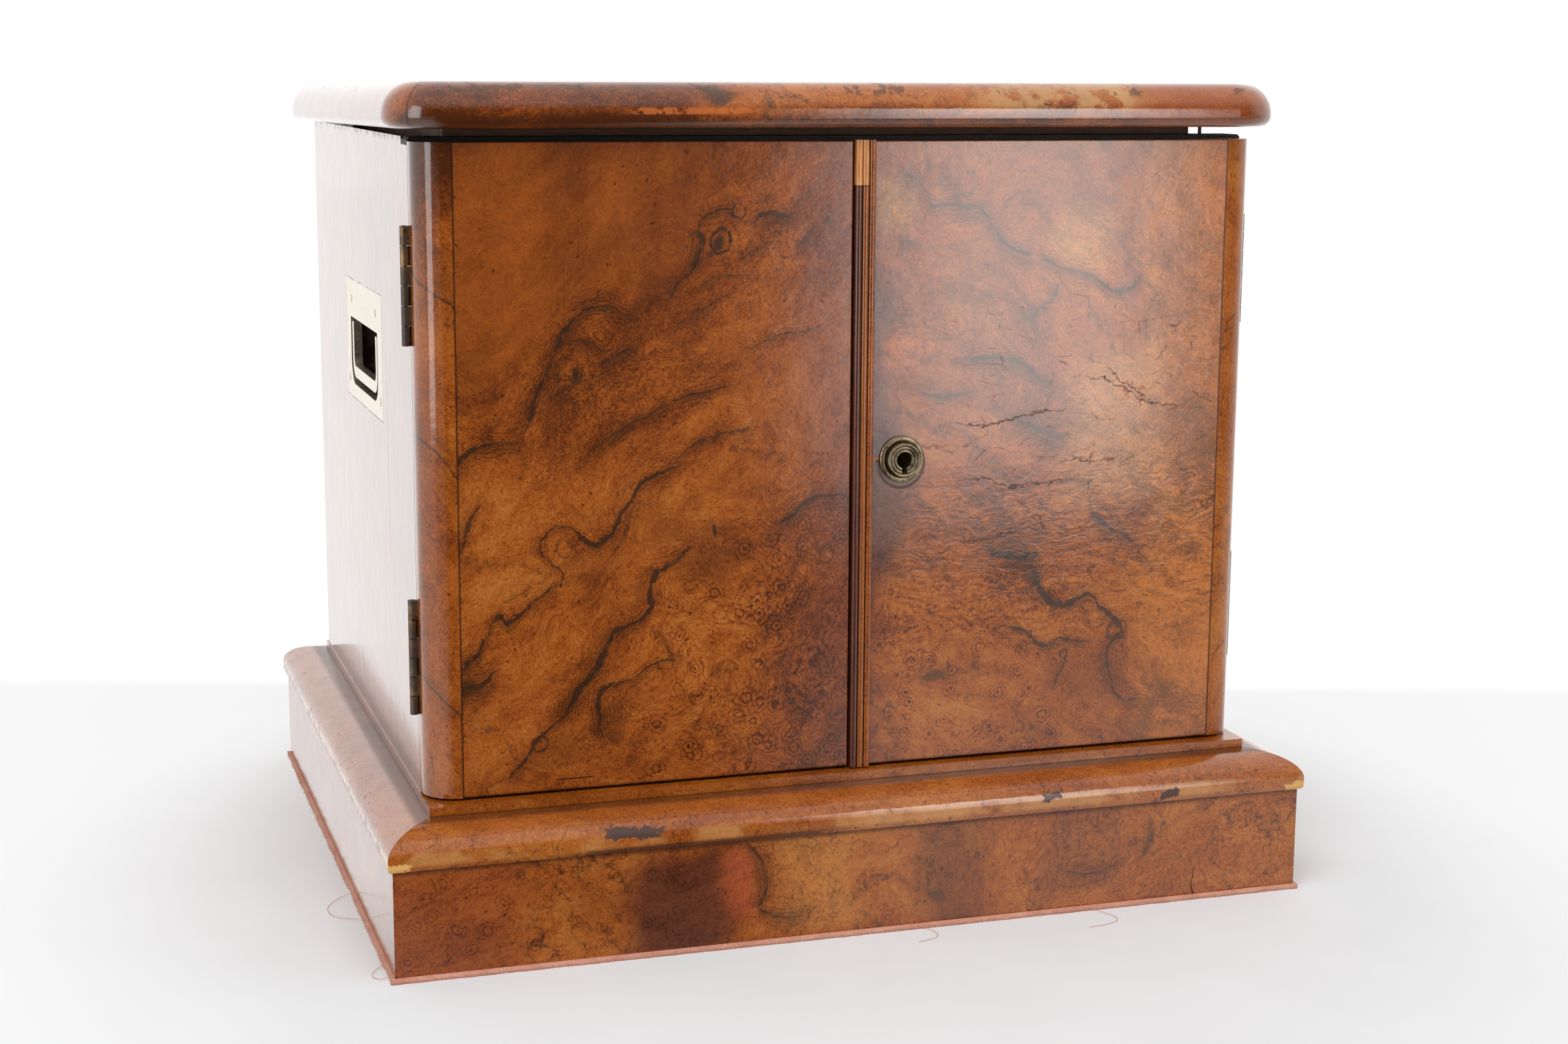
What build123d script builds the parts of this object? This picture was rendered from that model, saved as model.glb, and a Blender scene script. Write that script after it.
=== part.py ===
from build123d import *
import os
from math import cos, radians, sin, tan

# A cigar chest in burr walnut: a two-door cabinet on a moulded plinth, with a till under a hinged lid.
# Millimetres, +Z up, the doors face -Y, and the origin is the middle of the felt's underside.

# Overall sizes of the case. Its depth runs from the doors' faces to the back.
chest_width = 350.0
chest_depth = 285.0
case_height = 256.0

# Base: felt, plinth and moulding. A reach is how far the nose stands out from the case.
felt_thickness = 2.0
felt_overhang = 1.5
plinth_height = 42.0
plinth_thickness = 12.0
plinth_floor_thickness = 5.0
corner_block_leg = 26.0
moulding_height = 19.0
moulding_width = 34.0
moulding_projection = 19.5
nose_overhang = 2.0
nose_flat = 3.0
nose_round = 2.2
fillet_height = 3.7
fillet_step = 0.8
side_reach = 20.0
front_reach = 25.5

# Boards of the case.
side_thickness = 16.0
back_thickness = 12.0
bottom_thickness = 14.0
till_front_thickness = 14.0
till_floor_thickness = 8.0
till_depth = 71.0
rim_height = 3.0
rim_end_chamfer = 1.0

# Cedar linings, dividers and shelves.
lining_thickness = 4.0
lining_below_lid = 1.0
cupboard_lining_setback = 2.0
divider_thickness = 4.0
divider_spacing = 104.0
divider_height = 57.0
shelf_thickness = 6.0
shelf_setback = 18.0
shelf_count = 2

# Doors. The meeting line lies a little left of the middle, beside the astragal.
door_thickness = 16.0
door_corner_radius = 14.0
door_gap = 0.6
door_bottom_gap = 1.0
door_top_gap = 1.5
door_edge_round = 0.6
meeting_x = -1.9
meeting_gap = 0.8

# Astragal: a reeded strip planted on the right door's meeting edge.
astragal_width = 8.4
astragal_proud = 2.0
astragal_rebate = 1.5
astragal_reeds = 3
astragal_overlength = 0.4

# Butt hinges: two on each door and two on the lid.
hinge_length = 46.0
hinge_knuckles = 6
knuckle_radius = 1.7
knuckle_gap = 0.3
knuckle_clearance = 0.15
hinge_pin_radius = 0.75
hinge_running_fit = 0.05
leaf_width = 11.0
leaf_thickness = 1.3
leaf_gap = 0.2
lower_hinge_height = 55.0
upper_hinge_height = 200.0
lid_hinge_spacing = 220.0

# Countersunk screws for the hinges and the handle plates.
screw_head_radius = 1.9
screw_head_depth = 1.0
screw_shank_radius = 0.9
screw_length = 9.0
screw_fit = 0.05
screw_slot_width = 0.5
screw_slot_depth = 0.4
hinge_screw_spacing = 15.0
hinge_screws_per_leaf = 3

# Lid: a flat board with a rounded edge. It stands slightly ajar on two posts in front.
lid_thickness = 17.5
lid_reach = 10.0
lid_corner_radius = 24.0
lid_top_round = 12.5
lid_bottom_round = 4.5
lid_edge_width = 24.0
lid_gap = 0.3
lid_ajar_angle = 0.65
lid_lining_thickness = 5.0
lid_lining_clearance = 0.5
post_radius = 0.75
post_inset = 15.0
post_setback = 7.0
post_seat = 2.5
post_clearance = 0.3

# Lock in the right door, its key nozzle, and the strike plate in the left door.
key_x = 19.5
key_height = 127.5
nozzle_flange_radius = 9.5
nozzle_boss_radius = 7.0
nozzle_boss_height = 4.0
nozzle_flange_height = 1.4
nozzle_barrel_radius = 6.0
nozzle_barrel_length = 7.0
nozzle_fit = 0.1
keyhole_radius = 3.1
keyhole_slot_width = 2.3
keyhole_slot_length = 5.4
lock_case_width = 36.0
lock_case_height = 44.0
lock_case_depth = 8.0
lock_wall = 1.2
lock_cap_margin = 8.0
bolt_width = 4.0
bolt_height = 10.0
bolt_length = 26.0
bolt_rise = 9.0
bolt_throw = 6.0
bolt_fit = 0.15
bolt_flush = 0.3
strike_thickness = 1.2
strike_height = 34.0
strike_margin = 1.0

# Barrel bolts inside the left door.
door_bolt_inset = 12.0
door_bolt_radius = 1.8
door_bolt_fit = 0.1
door_bolt_standoff = 5.0
door_bolt_travel = 8.0
door_bolt_end_gap = 1.0
door_bolt_hole_depth = 10.0
door_bolt_plate_height = 34.0
door_bolt_plate_width = 14.0
door_bolt_plate_thickness = 1.2
door_bolt_plate_inset = 4.0
door_bolt_guide_height = 6.0
door_bolt_guide_width = 8.0
door_bolt_knob_radius = 2.3
door_bolt_knob_length = 5.0
door_bolt_knob_gap = 0.5

# Flush handles on both sides: a plate let in flush, with a bail pivoted in its thickness.
handle_y = -2.0
handle_height = 163.5
handle_plate_width = 100.0
handle_plate_height = 52.0
handle_plate_thickness = 4.0
handle_plate_corner = 1.5
window_width = 76.0
window_height = 29.5
window_below_top = 16.5
window_corner_radius = 10.0
bail_side_gap = 3.0
bail_bottom_gap = 3.2
bail_arm_width = 4.0
bail_bar_height = 5.0
bail_thickness = 3.6
bail_corner_radius = 8.5
bail_inner_radius = 4.0
bail_pivot_drop = 4.0
bail_top_reach = 2.0
bail_pin_radius = 1.0
bail_pin_length = 3.5
bail_pin_fit = 0.05
bail_pin_end_gap = 0.4
recess_depth = 12.0
recess_margin = 2.0
handle_screw_rows = ((68.0, 17.5), (88.0, -18.5))

# Faces that several pieces share.
half_width = chest_width / 2
front_y = -chest_depth / 2
back_y = chest_depth / 2
door_back_y = front_y + door_thickness
case_front_y = door_back_y + door_gap
plinth_top_z = felt_thickness + plinth_height
base_top_z = plinth_top_z + moulding_height
case_top_z = base_top_z + case_height
inner_x = half_width - side_thickness
back_inner_y = back_y - back_thickness
till_front_inner_y = case_front_y + till_front_thickness
till_floor_z = case_top_z - till_depth
cupboard_top_z = till_floor_z - till_floor_thickness
bottom_top_z = base_top_z + bottom_thickness
door_bottom_z = base_top_z + door_bottom_gap
door_top_z = case_top_z - door_top_gap
left_door_edge_x = meeting_x - meeting_gap / 2
right_door_edge_x = meeting_x + meeting_gap / 2
stile_x = half_width - door_corner_radius
nose_x = half_width + side_reach
nose_y = chest_depth / 2 + front_reach
plinth_x = nose_x - nose_overhang
plinth_y = nose_y - nose_overhang
key_z = base_top_z + key_height

# The hinge axes. A door's is in the middle of the gap behind it, the lid's in the gap under it.
hinge_reach = knuckle_radius + knuckle_clearance
door_axis_y = door_back_y + door_gap / 2
lid_axis_y = back_y + hinge_reach
lid_axis_z = case_top_z + lid_gap / 2
door_hinge_heights = (base_top_z + lower_hinge_height, base_top_z + upper_hinge_height)
lid_hinge_places = (-lid_hinge_spacing / 2, lid_hinge_spacing / 2)

# The lid's own plane: origin on its hinge axis, turned back by the angle at which it stands ajar.
lid_up = (0, sin(radians(lid_ajar_angle)), cos(radians(lid_ajar_angle)))
lid_forward = (0, -cos(radians(lid_ajar_angle)), sin(radians(lid_ajar_angle)))
lid_plane = Plane(origin=(0, lid_axis_y, lid_axis_z), x_dir=(1, 0, 0), z_dir=lid_up)

# The four sides of the base and of the lid, by the turn about Z that brings the front side there.
side_turns = {"front": 0, "right": 90, "back": 180, "left": 270}


def save(piece, name):
    """Labels a finished piece and writes it as its own file."""
    piece.part.label = name
    export_step(piece.part, f"parts/{name}.step")


def block(x_span, y_span, z_span, mode=Mode.ADD):
    """Adds or cuts a rectangular block between pairs of coordinates in the open part."""
    with BuildSketch(Plane.XY.offset(z_span[0])) as plan:
        with Locations(((x_span[0] + x_span[1]) / 2, (y_span[0] + y_span[1]) / 2)):
            Rectangle(x_span[1] - x_span[0], y_span[1] - y_span[0])
    extrude(plan.sketch, amount=z_span[1] - z_span[0], mode=mode)


def rod(plane, radius, length, mode=Mode.ADD):
    """Adds or cuts a round rod that starts on the plane and runs along its normal."""
    with BuildSketch(plane) as section:
        Circle(radius)
    extrude(section.sketch, amount=length, mode=mode)


def turned(plane, angle):
    """The plane turned about its own normal."""
    return Plane(
        origin=plane.origin,
        x_dir=plane.x_dir.rotate(Axis(plane.origin, plane.z_dir), angle),
        z_dir=plane.z_dir,
    )


def mitred_plan(plane, half_length, reach, width):
    """The plan of one side of a frame: its outer edge at the reach, both ends mitred at 45 degrees."""
    with BuildSketch(plane, mode=Mode.PRIVATE) as plan:
        with BuildLine():
            Polyline(
                (-half_length, -reach),
                (half_length, -reach),
                (half_length - width, -reach + width),
                (-half_length + width, -reach + width),
                close=True,
            )
        make_face()
    return plan.sketch


def screw(fit=0.0):
    """A countersunk screw pointing down -Z, the top of its head on the XY plane."""
    with BuildPart(mode=Mode.PRIVATE) as made:
        with BuildSketch(Plane.XZ) as section:
            with BuildLine():
                Polyline(
                    (0, 0),
                    (screw_head_radius + fit, 0),
                    (screw_shank_radius + fit, -screw_head_depth),
                    (screw_shank_radius + fit, -screw_length + screw_shank_radius),
                    (0, -screw_length - fit),
                    close=True,
                )
            make_face()
        revolve(section.sketch, axis=Axis.Z)
        if fit == 0.0:
            with BuildSketch(Plane.XY) as slot:
                Rectangle(2 * screw_head_radius, screw_slot_width)
            extrude(slot.sketch, amount=-screw_slot_depth, mode=Mode.SUBTRACT)
    return made.part


def place_screws(planes, fit=0.0, mode=Mode.ADD):
    """Adds screws to the open part, or cuts their holes, at planes that face out of the wood."""
    with Locations(*planes):
        add(screw(fit), mode=mode)


def hinge_leaf(plane, side, first_knuckle):
    """Adds one leaf of a butt hinge to the open part.

    The hinge's plane has its origin in the middle of the pin, its normal along the pin, its X axis
    from the barrel into the joint, and its Y axis towards the fixed leaf. side is 1 for the fixed
    leaf and -1 for the moving one, and first_knuckle is 0 or 1.
    """
    near = side * leaf_gap / 2
    far = side * (leaf_gap / 2 + leaf_thickness)
    pitch = hinge_length / hinge_knuckles
    with BuildSketch(plane.offset(-hinge_length / 2)) as leaf:
        with Locations((hinge_reach + leaf_width / 2, (near + far) / 2)):
            Rectangle(leaf_width, leaf_thickness)
    extrude(leaf.sketch, amount=hinge_length)
    for number in range(first_knuckle, hinge_knuckles, 2):
        start = -hinge_length / 2 + number * pitch + knuckle_gap / 2
        with BuildSketch(plane.offset(start)) as knuckle:
            Circle(knuckle_radius)
            with Locations((hinge_reach / 2, (near + far) / 2)):
                Rectangle(hinge_reach, leaf_thickness)
            Circle(hinge_pin_radius + hinge_running_fit, mode=Mode.SUBTRACT)
        extrude(knuckle.sketch, amount=pitch - knuckle_gap)


def hinge_screw_planes(plane, side):
    """Planes on a leaf's inner face, one for each of its screws, facing out of the wood."""
    planes = []
    for number in range(hinge_screws_per_leaf):
        along = (number - (hinge_screws_per_leaf - 1) / 2) * hinge_screw_spacing
        place = (hinge_reach + leaf_width / 2, side * leaf_gap / 2, along)
        planes.append(
            Plane(
                origin=plane.from_local_coords(place),
                x_dir=plane.x_dir,
                z_dir=plane.y_dir * -side,
            )
        )
    return planes


def leaf_recess(plane, side, joint_gap):
    """Cuts the shallow housing of a hinge leaf in the wood of the open part."""
    depth = leaf_thickness + leaf_gap / 2 - joint_gap / 2
    with BuildSketch(plane.offset(-hinge_length / 2)) as housing:
        with Locations((hinge_reach + leaf_width / 2, side * (joint_gap + depth) / 2)):
            Rectangle(leaf_width, depth)
    extrude(housing.sketch, amount=hinge_length, mode=Mode.SUBTRACT)


def door_hinge_planes(side):
    """The planes of one door's hinges. side is -1 for the left door and 1 for the right one."""
    planes = []
    for height in door_hinge_heights:
        origin = (side * (half_width + hinge_reach), door_axis_y, height)
        planes.append(Plane(origin=origin, x_dir=(-side, 0, 0), z_dir=(0, 0, -side)))
    return planes


def lid_hinge_planes(forward):
    """The planes of the lid's hinges, for the direction that runs forward along the leaf's wood."""
    planes = []
    for place in lid_hinge_places:
        planes.append(Plane(origin=(place, lid_axis_y, lid_axis_z), x_dir=forward, z_dir=(1, 0, 0)))
    return planes


case_lid_hinges = lid_hinge_planes((0, -1, 0))
moving_lid_hinges = lid_hinge_planes(lid_forward)

os.makedirs("parts", exist_ok=True)

# Base

with BuildPart() as base_felt:
    felt_x = plinth_x + felt_overhang
    felt_y = plinth_y + felt_overhang
    block((-felt_x, felt_x), (-felt_y, felt_y), (0, felt_thickness))
save(base_felt, "base_felt")

for name, turn in side_turns.items():
    along_x = turn % 180 == 0
    half_length = plinth_x if along_x else plinth_y
    reach = plinth_y if along_x else plinth_x
    with BuildPart() as plinth_board:
        plan_plane = turned(Plane.XY.offset(felt_thickness), turn)
        extrude(mitred_plan(plan_plane, half_length, reach, plinth_thickness), amount=plinth_height)
    save(plinth_board, f"plinth_{name}")

with BuildPart() as plinth_floor:
    floor_x = plinth_x - plinth_thickness
    floor_y = plinth_y - plinth_thickness
    floor_top_z = felt_thickness + plinth_floor_thickness
    block((-floor_x, floor_x), (-floor_y, floor_y), (felt_thickness, floor_top_z))
save(plinth_floor, "plinth_floor")

with BuildPart() as corner_blocks:
    with BuildSketch(Plane.XY.offset(floor_top_z)):
        for x_sign in (-1, 1):
            for y_sign in (-1, 1):
                with BuildLine():
                    Polyline(
                        (x_sign * floor_x, y_sign * floor_y),
                        (x_sign * (floor_x - corner_block_leg), y_sign * floor_y),
                        (x_sign * floor_x, y_sign * (floor_y - corner_block_leg)),
                        close=True,
                    )
                make_face()
    extrude(amount=plinth_top_z - floor_top_z)
save(corner_blocks, "corner_blocks")

for name, turn in side_turns.items():
    along_x = turn % 180 == 0
    half_length = nose_x if along_x else nose_y
    reach = nose_y if along_x else nose_x
    outward = Vector(0, -1, 0).rotate(Axis.Z, turn)
    along = Vector(1, 0, 0).rotate(Axis.Z, turn)
    fillet_reach = reach - moulding_projection
    curve_top = moulding_height - fillet_height
    curve_foot = nose_round + nose_flat
    with BuildPart() as base_moulding:
        section_plane = Plane(origin=(0, 0, plinth_top_z), x_dir=outward, z_dir=outward.cross(Vector(0, 0, 1)))
        with BuildSketch(section_plane):
            with BuildLine():
                Polyline(
                    (reach - nose_round, 0),
                    (reach - moulding_width, 0),
                    (reach - moulding_width, moulding_height),
                    (fillet_reach, moulding_height),
                    (fillet_reach, curve_top),
                    (fillet_reach + fillet_step, curve_top),
                )
                EllipticalCenterArc(
                    (fillet_reach + fillet_step, curve_foot),
                    moulding_projection - fillet_step,
                    curve_top - curve_foot,
                    arc_size=90,
                )
                Line((reach, curve_foot), (reach, nose_round))
                CenterArc((reach - nose_round, nose_round), nose_round, 0, -90)
            make_face()
        extrude(amount=half_length, both=True)
        for end in (-1, 1):
            corner = outward * reach + along * (end * half_length)
            split(bisect_by=Plane(origin=corner, z_dir=along * end - outward), keep=Keep.BOTTOM)
    save(base_moulding, f"base_moulding_{name}")

# Case

handle_z = base_top_z + handle_height
window_top = handle_plate_height / 2 - window_below_top
window_bottom = window_top - window_height
pivot_up = window_top - bail_pivot_drop
pivot_depth = handle_plate_thickness / 2


def handle_plane(side):
    """The outer face of a side board at its handle, X towards the back on the right side."""
    return Plane(origin=(side * half_width, handle_y, handle_z), x_dir=(0, side, 0), z_dir=(side, 0, 0))


def window_outline(margin=0.0):
    """The edges of the window: square corners at the top, round ones at the bottom."""
    with BuildLine(mode=Mode.PRIVATE) as outline:
        Line((-window_width / 2 - margin, window_top + margin), (window_width / 2 + margin, window_top + margin))
        FilletPolyline(
            (window_width / 2 + margin, window_top + margin),
            (window_width / 2 + margin, window_bottom - margin),
            (-window_width / 2 - margin, window_bottom - margin),
            (-window_width / 2 - margin, window_top + margin),
            radius=window_corner_radius,
        )
    return outline.edges()


def handle_screw_planes(side):
    """Planes at the four screws of a handle plate, facing outwards."""
    face = handle_plane(side)
    planes = []
    for x_sign in (-1, 1):
        for spacing, height in handle_screw_rows:
            place = (x_sign * spacing / 2, height, 0)
            planes.append(Plane(origin=face.from_local_coords(place), x_dir=face.x_dir, z_dir=face.z_dir))
    return planes


for side, name in ((-1, "case_left_side"), (1, "case_right_side")):
    face = handle_plane(side)
    with BuildPart() as case_side:
        block(
            sorted((side * inner_x, side * half_width)),
            (case_front_y, back_y),
            (base_top_z, case_top_z),
        )
        block(
            sorted((side * inner_x, side * half_width)),
            (case_front_y, till_front_inner_y),
            (case_top_z - rim_height, case_top_z),
            Mode.SUBTRACT,
        )
        with BuildSketch(face) as plate_housing:
            RectangleRounded(handle_plate_width, handle_plate_height, handle_plate_corner)
        extrude(plate_housing.sketch, amount=-handle_plate_thickness, mode=Mode.SUBTRACT)
        with BuildSketch(face) as finger_recess:
            make_face(window_outline(recess_margin))
        extrude(finger_recess.sketch, amount=-recess_depth, mode=Mode.SUBTRACT)
        for hinge in door_hinge_planes(side):
            leaf_recess(hinge, 1, door_gap)
            place_screws(hinge_screw_planes(hinge, 1), screw_fit, Mode.SUBTRACT)
        place_screws(handle_screw_planes(side), screw_fit, Mode.SUBTRACT)
    save(case_side, name)

with BuildPart() as case_back:
    block((-inner_x, inner_x), (back_inner_y, back_y), (base_top_z, case_top_z))
    for hinge in case_lid_hinges:
        leaf_recess(hinge, 1, lid_gap)
        place_screws(hinge_screw_planes(hinge, 1), screw_fit, Mode.SUBTRACT)
save(case_back, "case_back")

door_bolt_x = left_door_edge_x - door_bolt_inset
door_bolt_y = door_back_y + door_bolt_standoff
hole_radius = door_bolt_radius + 2 * door_bolt_fit

with BuildPart() as case_bottom:
    block((-inner_x, inner_x), (case_front_y, back_inner_y), (base_top_z, bottom_top_z))
    bolt_hole = Plane(origin=(door_bolt_x, door_bolt_y, bottom_top_z))
    rod(bolt_hole, hole_radius, -door_bolt_hole_depth, Mode.SUBTRACT)
save(case_bottom, "case_bottom")

with BuildPart() as till_front:
    block(
        (-inner_x, inner_x),
        (case_front_y, till_front_inner_y),
        (cupboard_top_z, case_top_z - rim_height),
    )
    bolt_hole = Plane(origin=(door_bolt_x, door_bolt_y, cupboard_top_z))
    rod(bolt_hole, hole_radius, door_bolt_hole_depth, Mode.SUBTRACT)
save(till_front, "till_front")

with BuildPart() as till_floor:
    block((-inner_x, inner_x), (till_front_inner_y, back_inner_y), (cupboard_top_z, till_floor_z))
save(till_floor, "till_floor")

post_x = half_width - post_inset
post_y = case_front_y + post_setback
post_places = ((-post_x, post_y), (post_x, post_y))
post_foot_z = case_top_z - post_seat
lid_underside_z = (
    lid_axis_z
    + (lid_axis_y - post_y) * tan(radians(lid_ajar_angle))
    + lid_gap / 2 / cos(radians(lid_ajar_angle))
)

with BuildPart() as front_rim:
    block(
        (-half_width, half_width),
        (case_front_y, till_front_inner_y),
        (case_top_z - rim_height, case_top_z),
    )
    end_edges = front_rim.edges().filter_by(Axis.Y).group_by(Axis.Z)[-1]
    chamfer(end_edges, length=rim_end_chamfer)
    for place in post_places:
        rod(
            Plane(origin=(place[0], place[1], post_foot_z)),
            post_radius + screw_fit,
            post_seat,
            Mode.SUBTRACT,
        )
save(front_rim, "front_rim")

with BuildPart() as lid_rest_posts:
    for place in post_places:
        post_plane = Plane(origin=(place[0], place[1], post_foot_z))
        rod(post_plane, post_radius, lid_underside_z - post_clearance - post_foot_z)
save(lid_rest_posts, "lid_rest_posts")

# Linings of the till and the cupboard

lining_top_z = case_top_z - lid_lining_thickness - lining_below_lid
lined_x = inner_x - lining_thickness
lined_back_y = back_inner_y - lining_thickness
lined_front_y = till_front_inner_y + lining_thickness

with BuildPart() as till_side_linings:
    for side in (-1, 1):
        block(
            sorted((side * lined_x, side * inner_x)),
            (till_front_inner_y, back_inner_y),
            (till_floor_z, lining_top_z),
        )
save(till_side_linings, "till_side_linings")

with BuildPart() as till_end_linings:
    for y_span in ((till_front_inner_y, lined_front_y), (lined_back_y, back_inner_y)):
        block((-lined_x, lined_x), y_span, (till_floor_z, lining_top_z))
save(till_end_linings, "till_end_linings")

with BuildPart() as till_dividers:
    for side in (-1, 1):
        middle = side * divider_spacing / 2
        block(
            (middle - divider_thickness / 2, middle + divider_thickness / 2),
            (lined_front_y, lined_back_y),
            (till_floor_z, till_floor_z + divider_height),
        )
save(till_dividers, "till_dividers")

with BuildPart() as cupboard_side_linings:
    for side in (-1, 1):
        block(
            sorted((side * lined_x, side * inner_x)),
            (case_front_y + cupboard_lining_setback, back_inner_y),
            (bottom_top_z, cupboard_top_z),
        )
save(cupboard_side_linings, "cupboard_side_linings")

with BuildPart() as cupboard_back_lining:
    block((-lined_x, lined_x), (lined_back_y, back_inner_y), (bottom_top_z, cupboard_top_z))
save(cupboard_back_lining, "cupboard_back_lining")

bay_height = (cupboard_top_z - bottom_top_z - shelf_count * shelf_thickness) / (shelf_count + 1)
with BuildPart() as cupboard_shelves:
    for number in range(shelf_count):
        shelf_z = bottom_top_z + (number + 1) * bay_height + number * shelf_thickness
        block(
            (-lined_x, lined_x),
            (case_front_y + shelf_setback, lined_back_y),
            (shelf_z, shelf_z + shelf_thickness),
        )
save(cupboard_shelves, "cupboard_shelves")

# Lid

lid_half_width = half_width + lid_reach
lid_half_depth = (chest_depth + lid_reach) / 2
lid_middle = back_y - lid_half_depth - lid_axis_y
lid_base = Plane(
    origin=lid_plane.from_local_coords((0, lid_middle, lid_gap / 2)),
    x_dir=lid_plane.x_dir,
    z_dir=lid_plane.z_dir,
)

with BuildPart() as lid_blank:
    with BuildSketch(lid_base) as lid_plan:
        Rectangle(2 * lid_half_width, 2 * lid_half_depth)
        fillet(lid_plan.vertices().group_by(Axis.Y)[0], lid_corner_radius)
    extrude(amount=lid_thickness)
    through_lid = Axis(lid_base.origin, lid_base.z_dir)
    top_edges = lid_blank.faces().sort_by(through_lid)[-1].edges()
    fillet(top_edges.sort_by(Axis.Y)[:-1], lid_top_round)
    bottom_edges = lid_blank.faces().sort_by(through_lid)[0].edges()
    fillet(bottom_edges.sort_by(Axis.Y)[:-1], lid_bottom_round)

for name, turn in side_turns.items():
    along_x = turn % 180 == 0
    half_length = lid_half_width if along_x else lid_half_depth
    reach = lid_half_depth if along_x else lid_half_width
    with BuildPart() as lid_edge:
        add(lid_blank.part)
        edge_plan = mitred_plan(turned(lid_base, turn), half_length, reach, lid_edge_width)
        extrude(edge_plan, amount=lid_thickness, mode=Mode.INTERSECT)
        if name == "back":
            for hinge in moving_lid_hinges:
                leaf_recess(hinge, -1, lid_gap)
                place_screws(hinge_screw_planes(hinge, -1), screw_fit, Mode.SUBTRACT)
    save(lid_edge, f"lid_edge_{name}")

with BuildPart() as lid_panel:
    with BuildSketch(lid_base):
        Rectangle(2 * (lid_half_width - lid_edge_width), 2 * (lid_half_depth - lid_edge_width))
    extrude(amount=lid_thickness)
save(lid_panel, "lid_panel")

lid_lining_x = inner_x - lid_lining_clearance
lid_lining_front = till_front_inner_y + lid_lining_clearance - lid_axis_y
lid_lining_back = back_inner_y - lid_lining_clearance - lid_axis_y
with BuildPart() as lid_lining:
    with BuildSketch(lid_plane.offset(lid_gap / 2)):
        with Locations((0, (lid_lining_front + lid_lining_back) / 2)):
            Rectangle(2 * lid_lining_x, lid_lining_back - lid_lining_front)
    extrude(amount=-lid_lining_thickness)
save(lid_lining, "lid_lining")

# Hinges

with BuildPart() as door_hinge_case_leaves:
    for side in (-1, 1):
        for hinge in door_hinge_planes(side):
            hinge_leaf(hinge, 1, 0)
            place_screws(hinge_screw_planes(hinge, 1), screw_fit, Mode.SUBTRACT)
save(door_hinge_case_leaves, "door_hinge_case_leaves")

for side, name in ((-1, "left"), (1, "right")):
    with BuildPart() as door_leaves:
        for hinge in door_hinge_planes(side):
            hinge_leaf(hinge, -1, 1)
            place_screws(hinge_screw_planes(hinge, -1), screw_fit, Mode.SUBTRACT)
    save(door_leaves, f"{name}_door_hinge_leaves")
    with BuildPart() as door_screws:
        for hinge in door_hinge_planes(side):
            place_screws(hinge_screw_planes(hinge, -1))
    save(door_screws, f"{name}_door_hinge_screws")

with BuildPart() as lid_hinge_case_leaves:
    for hinge in case_lid_hinges:
        hinge_leaf(hinge, 1, 0)
        place_screws(hinge_screw_planes(hinge, 1), screw_fit, Mode.SUBTRACT)
save(lid_hinge_case_leaves, "lid_hinge_case_leaves")

with BuildPart() as lid_hinge_lid_leaves:
    for hinge in moving_lid_hinges:
        hinge_leaf(hinge, -1, 1)
        place_screws(hinge_screw_planes(hinge, -1), screw_fit, Mode.SUBTRACT)
save(lid_hinge_lid_leaves, "lid_hinge_lid_leaves")

with BuildPart() as lid_hinge_screws:
    for hinge in moving_lid_hinges:
        place_screws(hinge_screw_planes(hinge, -1))
save(lid_hinge_screws, "lid_hinge_screws")

case_side_hinges = door_hinge_planes(-1) + door_hinge_planes(1) + case_lid_hinges

with BuildPart() as case_hinge_screws:
    for hinge in case_side_hinges:
        place_screws(hinge_screw_planes(hinge, 1))
save(case_hinge_screws, "case_hinge_screws")

with BuildPart() as hinge_pins:
    for hinge in case_side_hinges:
        rod(hinge.offset(-hinge_length / 2), hinge_pin_radius, hinge_length)
save(hinge_pins, "hinge_pins")

# Doors

door_z_span = (door_bottom_z, door_top_z)
bolt_y_span = (
    door_back_y - lock_case_depth / 2 - bolt_width / 2,
    door_back_y - lock_case_depth / 2 + bolt_width / 2,
)
bolt_z_span = (key_z + bolt_rise - bolt_height / 2, key_z + bolt_rise + bolt_height / 2)


def widened(span, amount):
    """A pair of coordinates moved apart by an amount at each end."""
    return (span[0] - amount, span[1] + amount)


with BuildPart() as left_door_panel:
    block((-stile_x, left_door_edge_x), (front_y, door_back_y), door_z_span)
    front_face = left_door_panel.faces().sort_by(Axis.Y)[0]
    fillet(front_face.edges().sort_by(Axis.X)[1:], door_edge_round)
    strike_x = left_door_edge_x - strike_thickness
    strike_y_span = widened(bolt_y_span, strike_margin + bolt_fit)
    strike_z_span = (
        (bolt_z_span[0] + bolt_z_span[1] - strike_height) / 2,
        (bolt_z_span[0] + bolt_z_span[1] + strike_height) / 2,
    )
    block((strike_x, left_door_edge_x), strike_y_span, strike_z_span, Mode.SUBTRACT)
    block(
        (left_door_edge_x - bolt_throw - 2 * strike_thickness, left_door_edge_x),
        widened(bolt_y_span, bolt_fit),
        widened(bolt_z_span, bolt_fit),
        Mode.SUBTRACT,
    )
save(left_door_panel, "left_door_panel")

with BuildPart() as strike_plate:
    block((strike_x, left_door_edge_x), strike_y_span, strike_z_span)
    block(
        (strike_x, left_door_edge_x),
        widened(bolt_y_span, bolt_fit),
        widened(bolt_z_span, bolt_fit),
        Mode.SUBTRACT,
    )
save(strike_plate, "strike_plate")

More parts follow.
